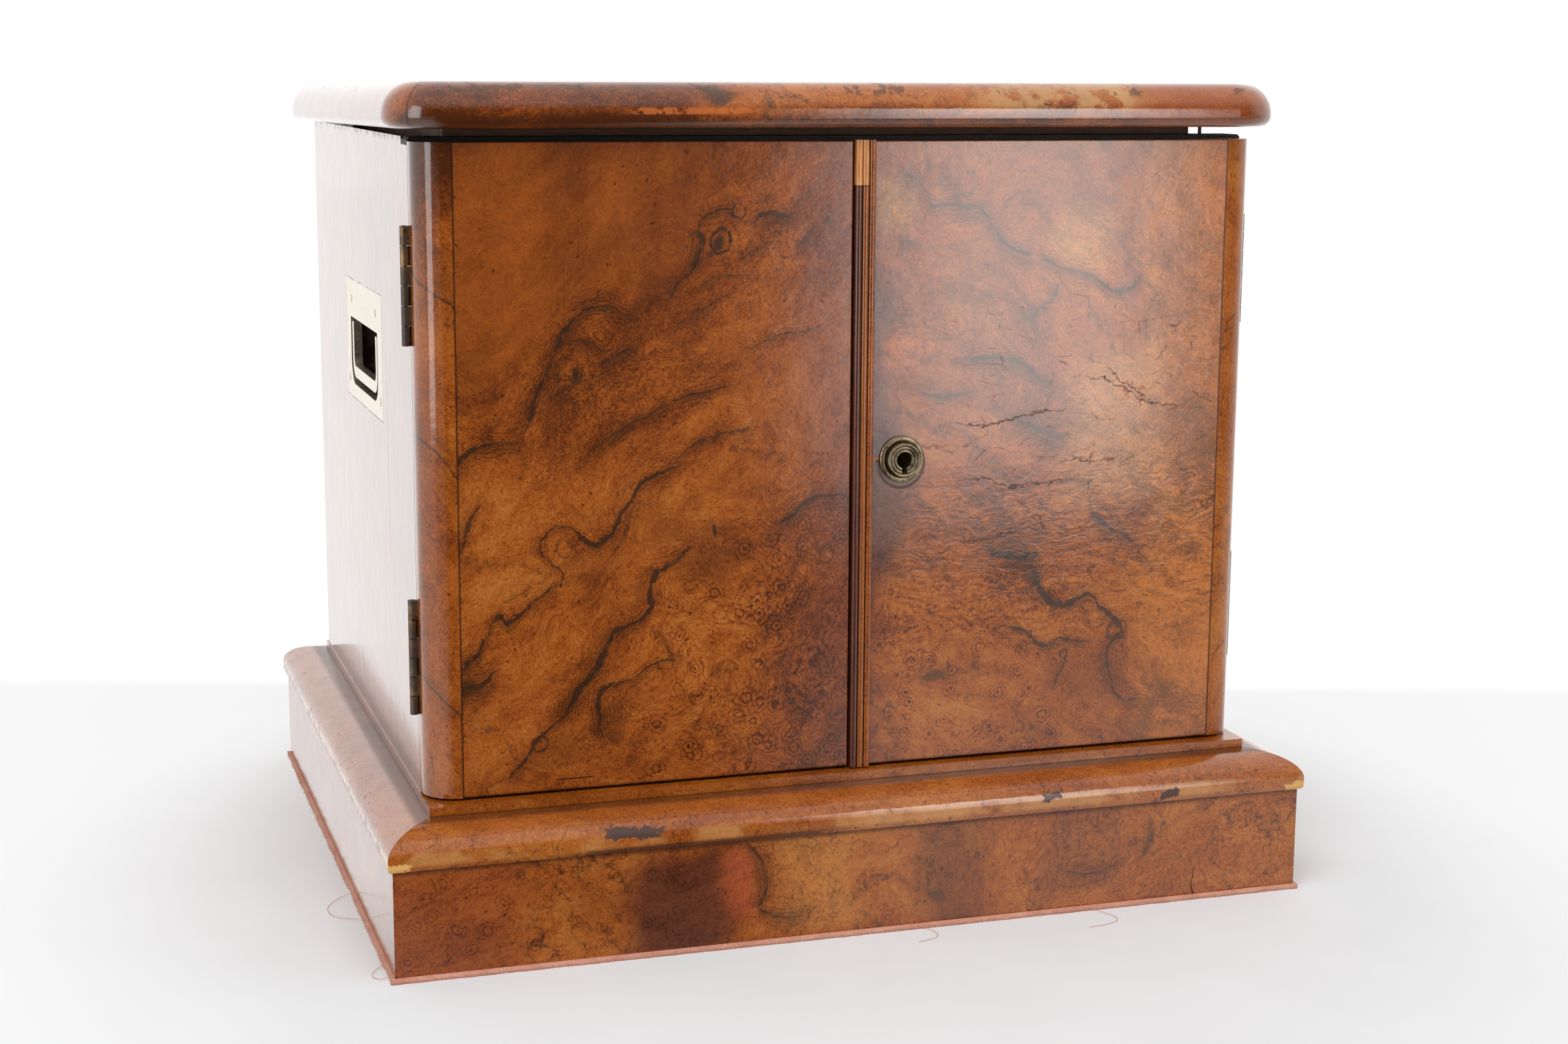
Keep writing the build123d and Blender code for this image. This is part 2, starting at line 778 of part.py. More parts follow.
astragal_x_span = (right_door_edge_x, right_door_edge_x + astragal_width)
lock_x_span = (right_door_edge_x + lock_wall, right_door_edge_x + lock_wall + lock_case_width)
lock_y_span = (door_back_y - lock_case_depth, door_back_y - lock_wall)
lock_z_span = (key_z - lock_case_height / 2, key_z + lock_case_height / 2)
cap_x_span = (lock_x_span[0], lock_x_span[1] + lock_cap_margin)
selvedge_y_span = (lock_y_span[0] - lock_wall, door_back_y)
selvedge_z_span = widened(lock_z_span, 2 * lock_wall)
nozzle_plane = Plane(origin=(key_x, front_y, key_z), x_dir=(1, 0, 0), z_dir=(0, -1, 0))


def keyhole_cut(depth):
    """Cuts the keyhole through the open part, from the boss's face to a depth behind the door's face."""
    with BuildSketch(nozzle_plane.offset(nozzle_boss_height)) as keyhole:
        Circle(keyhole_radius)
        with Locations((0, -keyhole_slot_length / 2)):
            Rectangle(keyhole_slot_width, keyhole_slot_length)
    extrude(keyhole.sketch, amount=-(nozzle_boss_height + depth), mode=Mode.SUBTRACT)


with BuildPart() as right_door_panel:
    block((right_door_edge_x, stile_x), (front_y, door_back_y), door_z_span)
    front_face = right_door_panel.faces().sort_by(Axis.Y)[0]
    fillet(front_face.edges().filter_by(Axis.X), door_edge_round)
    block(astragal_x_span, (front_y, front_y + astragal_rebate), door_z_span, Mode.SUBTRACT)
    block(
        (right_door_edge_x, lock_x_span[0]),
        selvedge_y_span,
        selvedge_z_span,
        Mode.SUBTRACT,
    )
    block(lock_x_span, (lock_y_span[0], door_back_y), lock_z_span, Mode.SUBTRACT)
    block(cap_x_span, (lock_y_span[1], door_back_y), lock_z_span, Mode.SUBTRACT)
    rod(nozzle_plane, nozzle_barrel_radius + nozzle_fit, -(door_thickness - lock_case_depth), Mode.SUBTRACT)
save(right_door_panel, "right_door_panel")

for side, name in ((-1, "left_door"), (1, "right_door")):
    with BuildPart() as door_stile:
        block(sorted((side * stile_x, side * half_width)), (front_y, door_back_y), door_z_span)
        outer_edge = door_stile.edges().filter_by(Axis.Z).sort_by(Axis.Y)[:2].sort_by(Axis.X)
        fillet(outer_edge[0 if side < 0 else 1], door_corner_radius - door_edge_round)
        for hinge in door_hinge_planes(side):
            leaf_recess(hinge, -1, door_gap)
            place_screws(hinge_screw_planes(hinge, -1), screw_fit, Mode.SUBTRACT)
    save(door_stile, f"{name}_stile")

reed_radius = astragal_width / astragal_reeds / 2
reed_seat_y = front_y - astragal_proud + reed_radius
with BuildPart() as astragal:
    with BuildSketch(Plane.XY.offset(door_bottom_z - astragal_overlength)):
        with BuildLine():
            Polyline(
                (astragal_x_span[0], reed_seat_y),
                (astragal_x_span[0], front_y + astragal_rebate),
                (astragal_x_span[1], front_y + astragal_rebate),
                (astragal_x_span[1], reed_seat_y),
            )
            for number in range(astragal_reeds):
                start = astragal_x_span[1] - number * 2 * reed_radius
                ThreePointArc(
                    (start, reed_seat_y),
                    (start - reed_radius, front_y - astragal_proud),
                    (start - 2 * reed_radius, reed_seat_y),
                )
        make_face()
    extrude(amount=door_top_z - door_bottom_z + 2 * astragal_overlength)
save(astragal, "astragal")

# Lock

with BuildPart() as lock_case:
    block((right_door_edge_x, lock_x_span[0]), selvedge_y_span, selvedge_z_span)
    block(lock_x_span, lock_y_span, lock_z_span)
    block(
        (lock_x_span[0], lock_x_span[1] - lock_wall),
        (lock_y_span[0] + lock_wall, lock_y_span[1]),
        widened(lock_z_span, -lock_wall),
        Mode.SUBTRACT,
    )
    block(
        (right_door_edge_x, lock_x_span[0]),
        widened(bolt_y_span, bolt_fit),
        widened(bolt_z_span, bolt_fit),
        Mode.SUBTRACT,
    )
    keyhole_cut(door_thickness - lock_case_depth + 2 * lock_wall)
save(lock_case, "lock_case")

with BuildPart() as lock_cap:
    block(cap_x_span, (lock_y_span[1], door_back_y), lock_z_span)
save(lock_cap, "lock_cap")

with BuildPart() as lock_bolt:
    bolt_start_x = right_door_edge_x + bolt_flush
    block((bolt_start_x, bolt_start_x + bolt_length), bolt_y_span, bolt_z_span)
    block(
        (key_x - bolt_throw / 2, key_x + bolt_throw / 2),
        bolt_y_span,
        (bolt_z_span[0], bolt_z_span[0] + bolt_height / 4),
        Mode.SUBTRACT,
    )
save(lock_bolt, "lock_bolt")

with BuildPart() as key_nozzle:
    ring_count = 3
    ring_pitch = (nozzle_boss_radius - keyhole_radius) / ring_count
    with BuildSketch(Plane(nozzle_plane.origin, x_dir=(1, 0, 0), z_dir=(0, 0, -1))):
        with BuildLine():
            Polyline(
                (0, nozzle_boss_height),
                (0, -nozzle_barrel_length),
                (nozzle_barrel_radius, -nozzle_barrel_length),
                (nozzle_barrel_radius, 0),
                (nozzle_flange_radius, 0),
                (nozzle_flange_radius, nozzle_flange_height / 2),
            )
            ThreePointArc(
                (nozzle_flange_radius, nozzle_flange_height / 2),
                ((nozzle_flange_radius + nozzle_boss_radius) / 2, nozzle_flange_height),
                (nozzle_boss_radius, nozzle_flange_height / 2),
            )
            Line(
                (nozzle_boss_radius, nozzle_flange_height / 2),
                (nozzle_boss_radius, nozzle_boss_height - ring_pitch / 2),
            )
            for number in range(ring_count):
                start = nozzle_boss_radius - number * ring_pitch
                ThreePointArc(
                    (start, nozzle_boss_height - ring_pitch / 2),
                    (start - ring_pitch / 2, nozzle_boss_height),
                    (start - ring_pitch, nozzle_boss_height - ring_pitch / 2),
                )
            Line(
                (keyhole_radius, nozzle_boss_height - ring_pitch / 2),
                (0, nozzle_boss_height),
            )
        make_face()
    revolve(axis=Axis(nozzle_plane.origin, nozzle_plane.z_dir))
    keyhole_cut(nozzle_barrel_length)
save(key_nozzle, "key_nozzle")

# Barrel bolts inside the left door. up is 1 for the upper one and -1 for the lower one.

guide_y_span = (door_back_y + door_bolt_plate_thickness, door_bolt_y + 2 * door_bolt_radius)
bolt_seats = {
    1: cupboard_top_z - door_bolt_end_gap,
    -1: bottom_top_z + door_bolt_end_gap,
}


def bolt_heights(up, near, far):
    """A pair of heights measured back from a bolt's end, in rising order."""
    return sorted((bolt_seats[up] - up * near, bolt_seats[up] - up * far))


plate_end = door_bolt_plate_inset + door_bolt_plate_height
with BuildPart() as door_bolt_plates:
    for up in (1, -1):
        block(
            (door_bolt_x - door_bolt_plate_width / 2, door_bolt_x + door_bolt_plate_width / 2),
            (door_back_y, door_back_y + door_bolt_plate_thickness),
            bolt_heights(up, door_bolt_plate_inset, plate_end),
        )
        for near in (door_bolt_plate_inset, plate_end - door_bolt_guide_height):
            block(
                (door_bolt_x - door_bolt_guide_width / 2, door_bolt_x + door_bolt_guide_width / 2),
                guide_y_span,
                bolt_heights(up, near, near + door_bolt_guide_height),
            )
        low, high = bolt_heights(up, door_bolt_plate_inset, plate_end)
        rod(
            Plane(origin=(door_bolt_x, door_bolt_y, low)),
            door_bolt_radius + door_bolt_fit / 2,
            high - low,
            Mode.SUBTRACT,
        )
save(door_bolt_plates, "door_bolt_plates")

knob_back = plate_end - door_bolt_guide_height - door_bolt_knob_gap - door_bolt_knob_radius
for up, name in ((1, "upper_door_bolt"), (-1, "lower_door_bolt")):
    with BuildPart() as door_bolt:
        low, high = bolt_heights(up, 0, plate_end)
        rod(Plane(origin=(door_bolt_x, door_bolt_y, low)), door_bolt_radius, high - low)
        knob_z = bolt_seats[up] - up * knob_back
        knob_plane = Plane(origin=(door_bolt_x, door_bolt_y, knob_z), x_dir=(1, 0, 0), z_dir=(0, 1, 0))
        rod(knob_plane, door_bolt_knob_radius, door_bolt_radius + door_bolt_knob_length)
        fillet(door_bolt.faces().sort_by(Axis.Y)[-1].edges(), door_bolt_knob_radius / 3)
    save(door_bolt, name)

# Flush handles

bail_x = window_width / 2 - bail_side_gap
bail_bottom = window_bottom + bail_bottom_gap
bail_top = pivot_up + bail_top_reach
bail_front = -(handle_plate_thickness - bail_thickness) / 2

for side, name in ((-1, "left"), (1, "right")):
    face = handle_plane(side)
    with BuildPart() as handle_plate:
        with BuildSketch(face) as plate_outline:
            RectangleRounded(handle_plate_width, handle_plate_height, handle_plate_corner)
        extrude(plate_outline.sketch, amount=-handle_plate_thickness)
        with BuildSketch(face) as window:
            make_face(window_outline())
        extrude(window.sketch, amount=-handle_plate_thickness, mode=Mode.SUBTRACT)
        for end in (-1, 1):
            pin_start = face.from_local_coords((end * window_width / 2, pivot_up, -pivot_depth))
            rod(
                Plane(origin=pin_start, z_dir=face.x_dir * end),
                bail_pin_radius + bail_pin_fit,
                bail_pin_length + bail_pin_end_gap,
                Mode.SUBTRACT,
            )
        place_screws(handle_screw_planes(side), screw_fit, Mode.SUBTRACT)
    save(handle_plate, f"{name}_handle_plate")

    with BuildPart() as handle_bail:
        with BuildSketch(face.offset(bail_front)) as bail_outline:
            with BuildLine():
                Line((-bail_x, bail_top), (bail_x, bail_top))
                FilletPolyline(
                    (bail_x, bail_top),
                    (bail_x, bail_bottom),
                    (-bail_x, bail_bottom),
                    (-bail_x, bail_top),
                    radius=bail_corner_radius,
                )
            make_face()
            with BuildLine():
                grip_x = bail_x - bail_arm_width
                Line((-grip_x, bail_top), (grip_x, bail_top))
                FilletPolyline(
                    (grip_x, bail_top),
                    (grip_x, bail_bottom + bail_bar_height),
                    (-grip_x, bail_bottom + bail_bar_height),
                    (-grip_x, bail_top),
                    radius=bail_inner_radius,
                )
            make_face(mode=Mode.SUBTRACT)
        extrude(amount=-bail_thickness)
        for end in (-1, 1):
            pin_start = face.from_local_coords((end * bail_x, pivot_up, -pivot_depth))
            rod(
                Plane(origin=pin_start, z_dir=face.x_dir * end),
                bail_pin_radius,
                bail_side_gap + bail_pin_length,
            )
    save(handle_bail, f"{name}_handle_bail")

with BuildPart() as handle_screws:
    for side in (-1, 1):
        place_screws(handle_screw_planes(side))
save(handle_screws, "handle_screws")
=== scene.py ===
import math
import random

import bmesh
import bpy
from mathutils import Matrix, Vector, noise


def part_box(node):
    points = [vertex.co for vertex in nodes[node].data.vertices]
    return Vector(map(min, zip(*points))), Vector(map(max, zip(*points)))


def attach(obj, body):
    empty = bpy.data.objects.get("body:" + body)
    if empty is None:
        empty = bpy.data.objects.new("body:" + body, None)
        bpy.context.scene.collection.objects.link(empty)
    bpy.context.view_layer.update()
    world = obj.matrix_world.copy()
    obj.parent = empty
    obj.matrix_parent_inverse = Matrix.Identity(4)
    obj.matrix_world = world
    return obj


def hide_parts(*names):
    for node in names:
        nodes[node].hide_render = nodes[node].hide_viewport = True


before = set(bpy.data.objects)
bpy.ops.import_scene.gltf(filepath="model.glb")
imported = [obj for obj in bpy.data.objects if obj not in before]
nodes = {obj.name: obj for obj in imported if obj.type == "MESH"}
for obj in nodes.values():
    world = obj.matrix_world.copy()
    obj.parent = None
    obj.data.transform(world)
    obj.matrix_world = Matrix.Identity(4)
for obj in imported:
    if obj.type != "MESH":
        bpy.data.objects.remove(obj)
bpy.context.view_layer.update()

MM = 0.001
CM = 0.01

# Where the doors' panels meet their stiles, left and right of the middle
STILE_JOINT = 161.0 * MM


# Shader maths

class Number:
    """A number that varies over a surface: one output of a node, with its sums written as in Python."""

    def __init__(self, finish, socket):
        self.finish = finish
        self.socket = socket

    def sum(self, operation, *values):
        return self.finish.node("ShaderNodeMath", {"operation": operation}, dict(enumerate(values)))

    def __add__(self, other):
        return self.sum("ADD", self, other)

    def __sub__(self, other):
        return self.sum("SUBTRACT", self, other)

    def __rsub__(self, other):
        return self.sum("SUBTRACT", other, self)

    def __mul__(self, other):
        return self.sum("MULTIPLY", self, other)

    def __truediv__(self, other):
        return self.sum("DIVIDE", self, other)

    def __abs__(self):
        return self.sum("ABSOLUTE", self)

    def __pow__(self, other):
        return self.sum("POWER", self, other)

    __radd__ = __add__
    __rmul__ = __mul__

    def sine(self):
        return self.sum("SINE", self)

    def highest(self, other):
        return self.sum("MAXIMUM", self, other)

    def lowest(self, other):
        return self.sum("MINIMUM", self, other)

    def clamped(self):
        return self.highest(0.0).lowest(1.0)

    def rise(self, start, end):
        """0 up to start, 1 from end on, and a smooth rise between them."""
        return self.finish.node(
            "ShaderNodeMapRange",
            {"interpolation_type": "SMOOTHSTEP", "clamp": False},
            {"Value": self, "From Min": start, "From Max": end, "To Min": 0.0, "To Max": 1.0},
        )

    def fall(self, start, end):
        """1 up to start, 0 from end on, and a smooth fall between them."""
        return self.finish.node(
            "ShaderNodeMapRange",
            {"interpolation_type": "SMOOTHSTEP", "clamp": False},
            {"Value": self, "From Min": start, "From Max": end, "To Min": 1.0, "To Max": 0.0},
        )

    def between(self, start, end, soft):
        """1 between start and end, with soft edges."""
        return self.rise(start - soft, start + soft) * self.fall(end - soft, end + soft)


class Finish:
    """A material being made. Every node in it comes from node()."""

    def __init__(self, name, tree=None):
        if tree is None:
            self.material = bpy.data.materials.new(name)
            self.material.use_nodes = True
            tree = self.material.node_tree
        self.tree = tree
        self.tree.nodes.clear()

    def node(self, kind, settings=None, sockets=None, output=0):
        made = self.tree.nodes.new(kind)
        for key, value in (settings or {}).items():
            if key == "stops":
                ramp = made.color_ramp
                while len(ramp.elements) < len(value):
                    ramp.elements.new(0.5)
                for element, (place, colour) in zip(ramp.elements, value):
                    element.position = place
                    element.color = (*colour, 1.0)
            elif key == "points":
                curve = made.mapping.curves[0]
                for place in value[1:-1]:
                    curve.points.new(*place)
                curve.points[0].location = value[0]
                curve.points[-1].location = value[-1]
                made.mapping.update()
            else:
                setattr(made, key, value)
        for key, value in (sockets or {}).items():
            socket = made.inputs[key]
            if isinstance(value, Number):
                self.tree.links.new(value.socket, socket)
            elif socket.type == "RGBA" and len(value) == 3:
                socket.default_value = (*value, 1.0)
            else:
                socket.default_value = value
        return Number(self, made.outputs[output]) if made.outputs else None

    def place(self):
        """The place on the object, in centimetres."""
        here = self.node("ShaderNodeTexCoord", output=3)
        return self.node(
            "ShaderNodeVectorMath", {"operation": "SCALE"}, {"Vector": here, "Scale": 1.0 / CM}
        )

    def split(self, vector):
        """The three numbers of a vector."""
        parts = self.node("ShaderNodeSeparateXYZ", sockets={"Vector": vector})
        outputs = parts.socket.node.outputs
        return [Number(self, outputs[index]) for index in range(3)]

    def join(self, x, y, z):
        return self.node("ShaderNodeCombineXYZ", sockets={"X": x, "Y": y, "Z": z})

    def shift(self, vector, other):
        return self.node("ShaderNodeVectorMath", {"operation": "ADD"}, {0: vector, 1: other})

    def stretch(self, vector, factors):
        return self.node("ShaderNodeVectorMath", {"operation": "MULTIPLY"}, {0: vector, 1: factors})

    def dot(self, vector, direction):
        return self.node(
            "ShaderNodeVectorMath", {"operation": "DOT_PRODUCT"}, {0: vector, 1: direction}, 1
        )

    def cloud(self, vector, scale, detail=2.0, roughness=0.5):
        """Noise from 0 to 1 about 0.5."""
        return self.node(
            "ShaderNodeTexNoise",
            sockets={
                "Vector": vector,
                "Scale": scale,
                "Detail": detail,
                "Roughness": roughness,
            },
        )

    def swirl(self, vector, scale, reach, detail=1.0):
        """The vector moved about by noise, by up to about the reach each way."""
        drift = self.node(
            "ShaderNodeTexNoise",
            sockets={"Vector": vector, "Scale": scale, "Detail": detail},
            output=1,
        )
        centred = self.node(
            "ShaderNodeVectorMath", {"operation": "SUBTRACT"}, {0: drift, 1: (0.5, 0.5, 0.5)}
        )
        moved = self.node(
            "ShaderNodeVectorMath", {"operation": "SCALE"}, {"Vector": centred, "Scale": 2.0 * reach}
        )
        return self.shift(vector, moved)

    def cells(self, vector, scale, feature="F1"):
        return self.node(
            "ShaderNodeTexVoronoi",
            {"feature": feature},
            {"Vector": vector, "Scale": scale},
        )

    def ramp(self, factor, *stops):
        return self.node("ShaderNodeValToRGB", {"stops": stops}, {"Fac": factor})

    def mix(self, factor, first, second, blend="MIX"):
        return self.node(
            "ShaderNodeMix",
            {"data_type": "RGBA", "blend_type": blend},
            {0: factor, 6: first, 7: second},
            2,
        )

    def bump(self, height, strength, distance=1.0):
        """A relief from a height in millimetres."""
        return self.node(
            "ShaderNodeBump",
            sockets={"Height": height, "Strength": strength, "Distance": distance * MM},
        )

    def use(self, group, *values):
        """What kept sums give for these values."""
        made = self.node("ShaderNodeGroup", {"node_tree": group}, dict(enumerate(values)))
        return [Number(self, output) for output in made.socket.node.outputs]

    def surface(self, **sockets):
        """Ends the material with one principled shader."""
        names = {key.replace("_", " "): value for key, value in sockets.items()}
        shader = self.node("ShaderNodeBsdfPrincipled", sockets=names)
        self.node("ShaderNodeOutputMaterial", sockets={"Surface": shader})
        return self.material


# Sums that the veins and eyes of the burr use many times, each kept as one node group

def keep(name, takes, gives, sums):
    group = bpy.data.node_groups.new(name, "ShaderNodeTree")
    for title in takes.split():
        group.interface.new_socket(title, in_out="INPUT", socket_type="NodeSocketFloat")
    for title in gives.split():
        group.interface.new_socket(title, in_out="OUTPUT", socket_type="NodeSocketFloat")
    page = Finish(name, group)
    entry = page.node("NodeGroupInput").socket.node
    results = sums(*[Number(page, entry.outputs[title]) for title in takes.split()])
    page.node("NodeGroupOutput", sockets=dict(zip(gives.split(), results)))
    return group


def draw_vein(
    share, curve, rises, low, span,
    pen, nib, ragged, width, strength, shade, fade_in, fade_out,
    tone, ink, veil,
):
    gap = rises - (curve * span + low)
    ends = share.rise(0.0, fade_in) * share.fall(1.0 - fade_out, 1.0)
    far = abs(gap)
    thick = (pen.rise(0.36, 0.66) * width + width * 0.30) * (ends * 0.75 + 0.25)
    broken = nib.rise(0.34, 0.52) * 0.50 + 0.50
    core = (far / thick + ragged * 1.3).fall(0.35, 1.45)
    inside = share.rise(-0.01, 0.01) * share.fall(0.99, 1.01)
    ink = ink.highest(core * broken * inside * (ends * 0.8 + 0.2) * strength)
    cloud = (abs(gap + width * 0.8) + ragged * 0.34).fall(width * 0.3, width * 4.8)
    veil = veil.highest(cloud * ends * strength * shade)
    threads = (gap * 44.0 + pen * 14.0).sine().rise(-0.1, 1.0)
    near = far.fall(width * 1.5, width * 9.0) * ends
    return tone - threads * near * strength * 0.13, ink, veil


def draw_crack(share, curve, rises, low, span, nib, width, strength):
    gap = rises - (curve * span + low)
    ends = (share * (1.0 - share) * 6.0).clamped()
    mask = (abs(gap) / (ends * 0.8 + 0.2)).fall(width * 0.5, width * 2.0) * ends
    return [mask * (nib.rise(0.30, 0.50) * 0.6 + 0.4) * strength]


def squared_distance(x, z, centre_x, centre_z, reach_x, reach_z):
    across = (x - centre_x) / reach_x
    up = (z - centre_z) / reach_z
    return across * across + up * up


def draw_ring(x, z, centre_x, centre_z, radius, width, strength, ragged, nib, ink):
    far = squared_distance(x, z, centre_x, centre_z, 1.0, 1.0) ** 0.5
    band = (abs(far - radius) + ragged * 0.08).fall(width * 0.2, width * 2.4)
    return [ink.highest(band * (nib.rise(0.34, 0.50) * 0.5 + 0.5) * strength)]


def draw_spot(x, z, centre_x, centre_z, reach_x, reach_z, strength, ragged, ink, veil):
    far = squared_distance(x, z, centre_x, centre_z, reach_x, reach_z) + ragged * 0.8
    return ink.highest(far.fall(0.05, 1.1) * strength), veil.highest(far.fall(0.4, 3.2) * strength * 0.7)


def draw_smoke(x, z, centre_x, centre_z, reach_x, reach_z, strength, ragged, mottle, veil):
    far = squared_distance(x, z, centre_x, centre_z, reach_x, reach_z) + ragged * 0.7 + (mottle - 0.5) * 2.6
    return [veil.highest(far.fall(0.1, 1.4) * strength)]


def draw_whorl(x, z, centre_x, centre_z, reach_x, reach_z, strength, turns, ragged, nib, tone):
    far = squared_distance(x, z, centre_x, centre_z, reach_x, reach_z) ** 0.5
    far = far + ragged * 0.12 + (nib - 0.5) * 0.75
    rings = (far * turns * 6.3).sine().rise(0.0, 1.0) * nib.rise(0.36, 0.56)
    darker = rings * far.fall(0.55, 1.2) * 0.13 - far.fall(0.0, 1.0) * 0.05
    return [tone - darker * strength]


def soft_area(x, z, left, right, bottom, top, soft):
    across = x.rise(left - soft, left + soft) * x.fall(right - soft, right + soft)
    up = z.rise(bottom - soft, bottom + soft) * z.fall(top - soft, top + soft)
    return [across * up]


STROKE = "share curve rises low span "
PLACE = "x z centre_x centre_z "
vein_sums = keep(
    "vein",
    STROKE + "pen nib ragged width strength shade fade_in fade_out tone ink veil",
    "tone ink veil",
    draw_vein,
)
crack_sums = keep("crack", STROKE + "nib width strength", "mask", draw_crack)
away_sums = keep(
    "away", PLACE + "reach_x reach_z", "away", lambda *values: [squared_distance(*values)]
)
ring_sums = keep("ring", PLACE + "radius width strength ragged nib ink", "ink", draw_ring)
spot_sums = keep("spot", PLACE + "reach_x reach_z strength ragged ink veil", "ink veil", draw_spot)
smoke_sums = keep("smoke", PLACE + "reach_x reach_z strength ragged mottle veil", "veil", draw_smoke)
whorl_sums = keep("whorl", PLACE + "reach_x reach_z strength turns ragged nib tone", "tone", draw_whorl)
area_sums = keep("soft_area", "x z left right bottom top soft", "area", soft_area)


# Burr walnut

DEEP = (0.070, 0.016, 0.0030)
BROWN = (0.172, 0.037, 0.0036)
ORANGE = (0.318, 0.076, 0.0066)
HONEY = (0.430, 0.145, 0.0240)
INK = (0.032, 0.015, 0.007)
VEIL = (0.078, 0.027, 0.0062)
PLUM = (0.125, 0.026, 0.014)
CRACK = (0.045, 0.014, 0.008)
BARE_WOOD = (0.66, 0.36, 0.12)


# How much each layer of the figure adds to the tone, and the tone that they sway about
BROAD_SHARE = 0.45
MOTTLE_SHARE = 0.36
BAND_SHARE = 0.30
LINE_SHARE = 0.15
FINE_SHARE = 0.46
MICRO_SHARE = 0.60
MIDDLE_TONE = 0.52
PLAIN_SHARES = BROAD_SHARE + FINE_SHARE + MICRO_SHARE
FIGURE_SHARES = MOTTLE_SHARE + BAND_SHARE + LINE_SHARE


class Burr(Finish):
    """Polished burr walnut. Veins and eyes are drawn on it, in centimetres.

    run is the way the figure flows and rise the way across it, both lying in the veneer.
    """

    def __init__(self, name, run=(1, 0, 0), rise=(0, 0, 1), calm=1.0, lift=0.0, figure=1.0):
        super().__init__(name)
        self.here = self.place()
        self.x, self.y, self.z = self.split(self.here)
        wide = self.swirl(self.here, 0.15, 1.9 * calm, 2.0)
        self.flow = self.swirl(wide, 0.62, 0.50 * calm, 2.0)
        self.across = self.dot(self.flow, rise)
        self.along = self.dot(self.flow, run)
        self.broad = self.cloud(self.flow, 0.19, 2.0, 0.5)
        self.mottle = self.cloud(self.flow, 1.05, 5.0, 0.68)
        bands = self.cloud(self.join(self.across * 1.2, self.along * 0.30, self.y * 0.4), 1.0, 3.0, 0.55)
        lines = self.cloud(self.join(self.across * 7.0, self.along * 1.6, self.y), 1.0, 2.0, 0.6)
        self.fine = self.cloud(self.flow, 7.0, 4.0, 0.70)
        self.micro = self.cloud(self.here, 11.0, 4.0, 0.80)
        self.growth = self.cloud(self.flow, 0.40, 2.0, 0.45)
        self.tone = (
            self.broad * BROAD_SHARE
            + self.mottle * (MOTTLE_SHARE * figure)
            + bands * (BAND_SHARE * figure)
            + lines * (LINE_SHARE * figure)
            + self.fine * FINE_SHARE
            + self.micro * MICRO_SHARE
            + (lift + MIDDLE_TONE - PLAIN_SHARES / 2 - FIGURE_SHARES / 2 * figure)
        )
        self.patches = []
        self.stains = []
        self.ink = self.veil = self.matte = 0.0
        self.relief = (self.fine - 0.5) * 0.03 + (lines - 0.5) * 0.02
        wiggle = self.swirl(self.here, 1.0, 0.24, 3.0)
        self.drawn = self.swirl(wiggle, 5.0, 0.085, 2.0)
        self.drawn_parts = self.split(self.drawn)
        self.drift = self.split(self.flow)
        self.pen = self.cloud(self.here, 0.80, 3.0, 0.65)
        self.nib = self.cloud(self.here, 2.1, 2.0, 0.6)
        self.ragged = (self.fine - 0.5) * 0.65 + (self.micro - 0.5) * 0.45
        self.contours(self.mottle.rise(0.46, 0.62), 0.5 * figure)

    def contours(self, where, strength=1.0):
        """Fine close lines, like those of a fingerprint."""
        close = (self.growth * 210.0 + self.mottle * 9.0).sine().rise(-0.1, 1.0)
        self.tone = self.tone - close * where * (0.085 * strength)

    def calmed(self, where, share):
        """Plainer figure in one area."""
        self.tone = (self.tone - 0.5) * (1.0 - where * share) + 0.5

    def add_ink(self, mask):
        self.ink = mask.highest(self.ink)

    def add_veil(self, mask):
        self.veil = mask.highest(self.veil)

    def stroke(self, points, along, parts):
        """A line drawn through (x, z) points, as a height over x, or the other way round."""
        x, _, z = parts
        runs, rises = (x, z) if along == "x" else (z, x)
        pairs = sorted((a, b) if along == "x" else (b, a) for a, b in points)
        start, end = pairs[0][0], pairs[-1][0]
        low = min(b for _, b in pairs) - 0.5
        span = max(b for _, b in pairs) + 0.5 - low
        share = (runs - start) * (1.0 / (end - start))
        curve = self.node(
            "ShaderNodeFloatCurve",
            {"points": [((a - start) / (end - start), (b - low) / span) for a, b in pairs]},
            {"Value": share, "Factor": 1.0},
        )
        return share, curve, rises, low, span

    def vein(self, points, width=0.10, strength=1.0, along="x", shade=0.5, fade=(0.3, 0.3)):
        """A smoky dark vein with fine lines beside it.

        shade is the strength of the brown cloud that lies along it, and fade is the share of its
        length over which each end dies away.
        """
        drawn = self.stroke(points, along, self.drawn_parts)
        hand = (self.pen, self.nib, self.ragged, width, strength, shade, *fade)
        self.tone, self.ink, self.veil = self.use(vein_sums, *drawn, *hand, self.tone, self.ink, self.veil)

    def centred(self, centre):
        x, _, z = self.drawn_parts
        return x, z, *centre

    def away(self, centre, reach):
        """The distance from a centre at (x, z), squared, as a share of the reach."""
        return self.use(away_sums, *self.centred(centre), *reach)[0]

    def ring(self, centre, radius, width=0.06, strength=0.7):
        """A dark ring round an eye."""
        place = self.centred(centre)
        self.ink, = self.use(ring_sums, *place, radius, width, strength, self.ragged, self.nib, self.ink)

    def spot(self, centre, reach, strength=0.7):
        """A dark knot with a soft edge."""
        place = self.centred(centre)
        hand = (strength, self.ragged, self.ink, self.veil)
        self.ink, self.veil = self.use(spot_sums, *place, *reach, *hand)

    def smoke(self, centre, reach, strength=0.8):
        """A soft brown cloud."""
        place = self.centred(centre)
        self.veil, = self.use(smoke_sums, *place, *reach, strength, self.ragged, self.mottle, self.veil)

